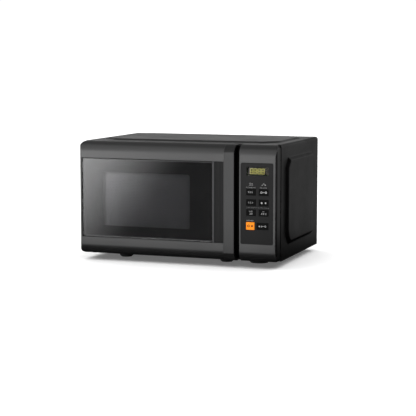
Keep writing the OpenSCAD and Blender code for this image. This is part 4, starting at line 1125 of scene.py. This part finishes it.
# %% Marks on the panel
panel_face = film.y0 + 0.00001
ICON_Z, LABEL_Z, DOTS_Z = BASE_Z + 0.1616, BASE_Z + 0.1545, BASE_Z + 0.1135
left_x, right_x = (key_box[n].centre[0] for n in ("key_row1_left", "key_row1_right"))
icons = marks(
    left_x, ICON_Z, panel_face,
    [(-4.4, -2.7, 4.4, -2.7, 0.5)], [(-1.6, 0.5, 1.7, 0.5), (2.2, 0.5, 1.3, 0.5)])
icons = join([icons, marks(
    right_x, ICON_Z, panel_face,
    [(-3.2, -2.0, 0, 2.0, 0.7), (0, 2.0, 3.0, -1.2, 0.7)], [(3.4, -1.4, 1.2, 1.2), (-3.4, -1.8, 0.9, 0.9)])])
labels = marks(left_x, LABEL_Z, panel_face, word(-10, 10, 0, 2.2, 21))
labels = join([labels, marks(right_x, LABEL_Z, panel_face, word(-8, 8, 0, 2.2, 22))])
dots = [(t, 0.0, 0.45, 0.45) for t in np.arange(-22, 26, 3.1)]
dotted = marks((left_x + right_x) / 2, DOTS_Z, panel_face, (), dots)
dress("panel_marks", join([icons, labels, dotted]), "root", "print_grey")
cancel = key_box["key_cancel"]
small_label = marks(cancel.centre[0], cancel.z1 + 0.0022, panel_face, word(-8.2, 7.6, 0, 1.7, 31))
dress("cancel_label", small_label, "root", "print_white")
print("panel marks placed")

# %% [markdown]
# ## Display
# A clear lens covers the lit digits. Each digit has seven bars. A bar is a hexagon: a straight length with
# pointed ends. All bars are on, as in a test of the display, with two dots between the pairs.


# %% Lens and digits
lens = Box("display_window")
lens_piece = dress(
    "display_lens", slab(lens.x0, lens.x1, lens.y0, lens.y0 + 0.0014, lens.z0, lens.z1, 0.0006, 0.0003),
    "root", "display_lens", ["display_window"],
)
DIGIT_Y = lens.y0 + 0.0022
DIGIT_X = (-13.0, -5.2, 3.6, 11.4)
DIGIT_W, DIGIT_H, BAR_W, LEAN = 5.3, 10.4, 0.72, 0.06


def bar_shape(cx, cz, length, width, upright, lean):
    """A hexagon from point to point, turned upright if asked, and slanted by lean times its height."""
    h, w = length / 2, width / 2
    flat = np.array([(-h, 0), (-h + w, -w), (h - w, -w), (h, 0), (h - w, w), (-h + w, w)])
    if upright:
        flat = flat[:, ::-1] * (1, -1)
    flat = flat + (cx, cz)
    flat[:, 0] += lean * flat[:, 1]
    return flat


def digit(cx, cz, w, h, t):
    """Seven bars of a digit, in millimetres about (cx, cz)."""
    bars = [(0, s * h / 2, w - t * 0.3, False) for s in (-1, 0, 1)]
    bars += [(sx * w / 2, sz * h / 4, h / 2 - t * 0.3, True) for sx in (-1, 1) for sz in (-1, 1)]
    return [bar_shape(x, z, length, t, upright, LEAN) + (cx, cz) for x, z, length, upright in bars]


mid_x, mid_z = (lens.x0 + lens.x1) / 2, (lens.z0 + lens.z1) / 2
shapes = [s for cx in DIGIT_X for s in digit(cx, 0, DIGIT_W, DIGIT_H, BAR_W)]
solid = lambda flat: stack([at_y(flat * MM + (mid_x, mid_z), y) for y in (DIGIT_Y, DIGIT_Y + 0.0002)])
colon = [ring_mark(mid_x - 0.0004, mid_z + z * MM, 0.75, 0.75, DIGIT_Y + 0.0001) for z in (-2.2, 2.2)]
dress("digits", join([solid(s) for s in shapes] + colon), "root", "digits_lit")
signs = [(-18.5, 6.0, -15.2, 6.0, 1.3), (-18.5, 2.4, -15.6, 2.4, 1.2), (-18.3, -1.2, -15.9, -1.2, 1.2),
         (-18.4, -4.6, -16.0, -4.6, 1.1), (-14.4, 6.2, -6.6, 6.2, 0.5)]
dress("display_signs", marks(mid_x, mid_z, DIGIT_Y + 0.0001, signs), "root", "symbols_lit")
print("lit bars:", len(shapes))

# %% [markdown]
# ## Softened solids
# Flat sheet parts and mouldings away from the front keep the form of their solid and only gain rounded edges. The
# copy's coplanar triangles are merged first, so that a bevel finds true edges.


# %% Soft edges
def softened(node, width, look=None):
    """A copy of a solid with merged faces and a small two-step bevel on its sharp edges."""
    source = nodes[node]
    mesh = source.data.copy()
    work = bmesh.new()
    work.from_mesh(mesh)
    bmesh.ops.remove_doubles(work, verts=work.verts[:], dist=1e-6)
    bmesh.ops.dissolve_limit(work, angle_limit=math.radians(0.6), verts=work.verts[:], edges=work.edges[:])
    work.to_mesh(mesh)
    work.free()
    mesh.shade_smooth()
    mesh.set_sharp_from_angle(angle=math.radians(32))
    piece = bpy.data.objects.new(node + "_soft", mesh)
    bpy.context.scene.collection.objects.link(piece)
    piece.matrix_world = source.matrix_world
    edge = piece.modifiers.new("soft_edges", "BEVEL")
    edge.width, edge.segments, edge.limit_method = width, 2, "ANGLE"
    edge.angle_limit = math.radians(35)
    slot_name = slot_of[node]
    mesh.materials.clear()
    mesh.materials.append(finish(look or slot_name))
    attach(piece, body_of[node])
    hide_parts(node)
    return piece


slot_of = {part["node"]: part["material_slot"] for part in frame["record"]["subparts"]}
body_of = {node: name for name, members in frame["record"]["behaviour"]["bodies"].items() for node in members}
SOFT = {
    "feet": 0.0008, "foot_pads": 0.0005, "key_panel": 0.00012, "choke_cover": 0.0004, "door_inner_panel": 0.0003,
    "rear_panel": 0.0003, "front_frame": 0.0002, "wall_spacers": 0.0012, "display_module": 0.0003,
}
for node, width in SOFT.items():
    softened(node, width)
print("softened:", ", ".join(SOFT))

# %% [markdown]
# ## Latch spring
# The coil sits between the latch bar and its stop.


def coil(box, wire=0.00045, turns=7, sides=8):
    """A round wire swept up a helix: one small ring of points per step, closed at both ends."""
    around = np.linspace(0, 2 * math.pi, sides, endpoint=False)
    reach = (box.x1 - box.x0) / 2 - wire
    rings = []
    for share in np.linspace(0, 1, 24 * turns + 1):
        angle = 2 * math.pi * turns * share
        out = reach + wire * np.cos(around)
        height = box.z0 + wire + share * (box.z1 - box.z0 - 2 * wire) + wire * np.sin(around)
        rings.append(np.stack([
            box.centre[0] + out * math.cos(angle), box.centre[1] + out * math.sin(angle), height], -1))
    return stack(rings)


spring_box = Box("latch_spring")
spring = dress("latch_coil", coil(spring_box), "door", "spring_steel", ["latch_spring"])
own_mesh(spring)

# %% [markdown]
# ## Floor and backdrop
# The oven stands alone on white. A white floor catches a soft shadow from a lamp that lights nothing else. What
# the pieces mirror of the floor is set apart from what the camera sees. To reflections it is almost dark near the
# oven, because the front's lower rounding mirrors it and has to fall off to black. It glows further in front, fading
# out before the key panel, and a little behind the oven, where the side mirrors it.

# %% Floor
def flat_card(name, corners):
    mesh = bpy.data.meshes.new(name)
    mesh.from_pydata(corners, [], [[0, 1, 2, 3]])
    card = bpy.data.objects.new(name, mesh)
    bpy.context.scene.collection.objects.link(card)
    return card


WHITE = (1.0, 1.0, 1.0, 1.0)
AHEAD, ACROSS, BEHIND = (-0.21, -0.44), (0.12, 0.28), (0.12, 0.55)


def floor_finish(name, near, far_glow, rear_glow):
    """White matt with a faint glow of its own to the camera. To every other ray it only glows: from near to
    far_glow going forwards, times a fade to the right, plus up to rear_glow going backwards."""
    material, tree, shader = start_material(name)
    plain = {"Base Color": (0.92, 0.92, 0.92, 1.0), "Roughness": 1.0, "Specular IOR Level": 0.0,
             "Emission Color": WHITE, "Emission Strength": 0.13}
    for key, value in plain.items():
        shader.inputs[key].default_value = value
    place = put(tree, "SeparateXYZ", Vector=put(tree, "NewGeometry").outputs["Position"]).outputs
    level = soft_ramp(tree, place["Y"], *AHEAD, near, far_glow)
    level = calc(tree, "MULTIPLY", level, soft_ramp(tree, place["X"], *ACROSS, 1.0, 0.0))
    level = calc(tree, "ADD", level, soft_ramp(tree, place["Y"], *BEHIND, 0.0, rear_glow))
    glow = put(tree, "Emission", Color=(1, 1, 1, 1), Strength=level)
    path = put(tree, "LightPath").outputs["Is Camera Ray"]
    mix = put(tree, "MixShader", Fac=path)
    tree.links.new(glow.outputs[0], mix.inputs[1])
    tree.links.new(shader.outputs[0], mix.inputs[2])
    end = next(n for n in tree.nodes if n.type == "OUTPUT_MATERIAL")
    tree.links.new(mix.outputs[0], end.inputs["Surface"])
    material.cycles.emission_sampling = "NONE"
    return material


floor = flat_card("floor", [(-8, -8, 0), (8, -8, 0), (8, 30, 0), (-8, 30, 0)])
floor.data.materials.append(floor_finish("floor_white", 0.01, 2.3, 0.22))
print("floor ready")

# %% [markdown]
# ## Room reflected by the oven
# The camera sees the world as plain white. Reflections see a studio: bright to the left, all the way from the front
# to the rear, and dark to the right. It is brightest near the horizon, where the top mirrors it at a flat angle, and
# dimmer higher up. A stop of the ramp is a share of the full turn, counted from the left through front, right and
# rear, with its brightness.

# %% World
world = bpy.data.worlds.new("studio")
world.use_nodes = True
bpy.context.scene.world = world
wt = world.node_tree
wt.nodes.clear()
toward = put(wt, "TexCoord").outputs["Generated"]
parts = put(wt, "SeparateXYZ", Vector=toward).outputs
turn = calc(wt, "ARCTAN2", parts["Y"], parts["X"])
turn = put(wt, "MapRange", Value=turn, From_Min=-math.pi, From_Max=math.pi).outputs["Result"]
ramp = put(wt, "ValToRGB", Fac=turn)
ramp.color_ramp.interpolation = "EASE"
stops = {0.0: 1.0, 0.22: 0.9, 0.38: 0.05, 0.62: 0.05, 0.74: 0.50, 0.80: 0.85, 0.86: 0.95, 1.0: 1.0}
while len(ramp.color_ramp.elements) < len(stops):
    ramp.color_ramp.elements.new(0.5)
for stop, (place, value) in zip(ramp.color_ramp.elements, stops.items()):
    stop.position, stop.color = place, (value, value, value, 1.0)
high = put(wt, "MapRange", Value=parts["Z"], From_Min=0.15, From_Max=0.27, To_Min=1.0, To_Max=0.3)
high = high.outputs["Result"]
pale = calc(wt, "MULTIPLY", ramp.outputs["Color"], high)
room = put(wt, "Background", Color=(1, 1, 1, 1), Strength=pale)
white = put(wt, "Background", Color=(1, 1, 1, 1), Strength=1.05)
seen = put(wt, "MixShader", Fac=put(wt, "LightPath").outputs["Is Camera Ray"])
wt.links.new(room.outputs[0], seen.inputs[1])
wt.links.new(white.outputs[0], seen.inputs[2])
wt.links.new(seen.outputs[0], put(wt, "OutputWorld").inputs["Surface"])
print("world ready")

# %% [markdown]
# ## Lamps
# Five soft boxes light the oven, and each is linked to the pieces that it should light. The fill box in front and
# the rear box behind light everything but the case, and show in no reflection. The sheen box and the upper box, both
# to the front left, show only as reflections, on everything but the glass. The screen box is small and close before
# the window's upper left corner; it lights the screen alone, and the pane doesn't stop its light. The shadow lamp
# is a wide sun straight above that only the floor receives. Radiance is a box's power over its area and pi.


# %% Lamps
def soft_box(name, place, aim, width, height, radiance):
    """A rectangular lamp at a place, turned towards its aim, that the camera doesn't see."""
    lamp = bpy.data.lights.new(name, "AREA")
    lamp.shape, lamp.size, lamp.size_y = "RECTANGLE", width, height
    lamp.energy = radiance * math.pi * width * height
    made = bpy.data.objects.new(name, lamp)
    made.location = place
    made.rotation_euler = (Vector(aim) - Vector(place)).to_track_quat("-Z", "Y").to_euler()
    made.visible_camera = False
    bpy.context.scene.collection.objects.link(made)
    return made


def collect(name, things):
    """A collection outside the scene, for a lamp to be linked to."""
    made = bpy.data.collections.new(name)
    for thing in things:
        made.objects.link(thing)
    return made


dressed = [thing for thing in bpy.context.scene.objects if thing.type == "MESH" and thing != floor]
stage_set = collect("stage_pieces", [floor])
matt_set = collect("all_but_glass", [thing for thing in dressed if thing not in (pane, lens_piece)])
fill_set = collect("all_but_case", [thing for thing in dressed if thing != steel_case])
no_pane_set = collect("no_pane", [thing for thing in dressed if thing != pane])
screen_set = collect("screen_only", [screen_sheet])
BY_SCREEN = (glass.x0 - 0.005, glass.y0 - 0.085, glass.z1 - 0.005), (glass.x0 + 0.08, glass.y1, glass.z1 - 0.04)

# Place, aim, width, height and radiance; then the kind of ray that doesn't see the lamp, and what it lights.
BOXES = {
    "fill_box": ((-1.2, -3.1, 0.75), (0, -0.1, 0.13), 3.4, 1.5, 6.8, "visible_glossy", fill_set),
    "rear_box": ((0.5, 2.4, 0.7), (0, 0.16, 0.13), 2.0, 1.0, 5.0, "visible_glossy", fill_set),
    "sheen_box": ((-0.95, -0.80, 0.36), (-0.80, -0.16, 0.36), 1.9, 0.70, 0.82, "visible_diffuse", matt_set),
    "upper_box": ((-0.60, -0.80, 1.10), (-0.25, -0.16, 0.25), 1.9, 0.8, 0.65, "visible_diffuse", matt_set),
    "screen_box": (*BY_SCREEN, 0.06, 0.06, 62.0, "visible_glossy", screen_set),
}
for name, (*shape, unseen_by, lights_up) in BOXES.items():
    lamp_box = soft_box(name, *shape)
    setattr(lamp_box, unseen_by, False)
    lamp_box.light_linking.receiver_collection = lights_up
    if name == "screen_box":
        lamp_box.light_linking.blocker_collection = no_pane_set
sun = bpy.data.lights.new("shadow_lamp", "SUN")
SUN_POWER, SUN_WIDE = 3.9, math.radians(120)
sun.energy, sun.angle = SUN_POWER, SUN_WIDE
sun_lamp = bpy.data.objects.new("shadow_lamp", sun)
bpy.context.scene.collection.objects.link(sun_lamp)
sun_lamp.light_linking.receiver_collection = stage_set
print("lamps:", *BOXES, sun_lamp.name)

# %% [markdown]
# ## Card in the glass
# The door's glass mirrors a bright card to the front left, strongest at its top left. The card's glow fades to
# the right and downwards, so the reflection does too. The card glows only along the lines of that mirror image, so
# no other surface sees it, nor does the camera.


# %% Glass card
MIRROR_EYE = Vector((CAMERA_AT[0], 2 * glass.y0 - CAMERA_AT[1], CAMERA_AT[2]))
CARD_SPAN = (glass.x0 - 0.06, glass.x1 + 0.02, -0.02, 0.30)  # where the card's outline crosses the pane
CARD_REACH = 0.36
FADE_RIGHT, FADE_DOWN, FADE_END = 1.35, 0.95, 1.35
BRIGHT, DIM = 7.6, 0.16
SAME_LINE = -0.996  # cosine between two lines that are taken as one


def glass_card():
    """The camera's mirror image in the glass plane looks through the pane at the card: its corners follow."""
    left, right, low, high = CARD_SPAN
    corners = []
    for x, z in ((left, low), (right, low), (right, high), (left, high)):
        crossing = Vector((x, glass.y0, z))
        way = crossing - MIRROR_EYE
        corners.append(tuple(crossing + way * (CARD_REACH / abs(way.y))))
    return flat_card("glass_card", corners)


card = glass_card()
card.data.uv_layers.new(name="card").data.foreach_set("uv", [0, 0, 1, 0, 1, 1, 0, 1])
card_mat, card_tree = start_material("card_glow")[:2]
split = put(card_tree, "SeparateXYZ", Vector=put(card_tree, "UVMap", {"uv_map": "card"}).outputs[0])
away = calc(card_tree, "MULTIPLY", split.outputs["X"], FADE_RIGHT)
low = calc(card_tree, "SUBTRACT", 1.0, split.outputs["Y"])
low = calc(card_tree, "MULTIPLY", low, FADE_DOWN)
far = calc(card_tree, "ADD", away, low)
glow = soft_ramp(card_tree, far, 0.0, FADE_END, BRIGHT, DIM)
glow_end = put(card_tree, "Emission", Color=(1, 1, 1, 1), Strength=glow)
here = put(card_tree, "NewGeometry").outputs
from_eye = put(card_tree, "VectorMath", {"operation": "SUBTRACT"}, i0=here["Position"], i1=tuple(MIRROR_EYE))
from_eye = put(card_tree, "VectorMath", {"operation": "NORMALIZE"}, i0=from_eye.outputs[0]).outputs[0]
match = put(card_tree, "VectorMath", {"operation": "DOT_PRODUCT"}, i0=from_eye, i1=here["Incoming"]).outputs["Value"]
mirrored = calc(card_tree, "LESS_THAN", match, SAME_LINE)
clear_way = put(card_tree, "BsdfTransparent")
choose = put(card_tree, "MixShader", Fac=mirrored)
card_tree.links.new(clear_way.outputs[0], choose.inputs[1])
card_tree.links.new(glow_end.outputs[0], choose.inputs[2])
card_end = next(n for n in card_tree.nodes if n.type == "OUTPUT_MATERIAL")
card_tree.links.new(choose.outputs[0], card_end.inputs["Surface"])
card_mat.cycles.emission_sampling = "NONE"
card.data.materials.append(card_mat)
card.visible_camera = card.visible_diffuse = card.visible_shadow = False
print("card at", [round(v, 2) for v in card.data.vertices[0].co])

# %% [markdown]
# ## Tone
# Colours go to the screen with the plain transform.

# %% Finish
bpy.context.scene.view_settings.view_transform = "Standard"
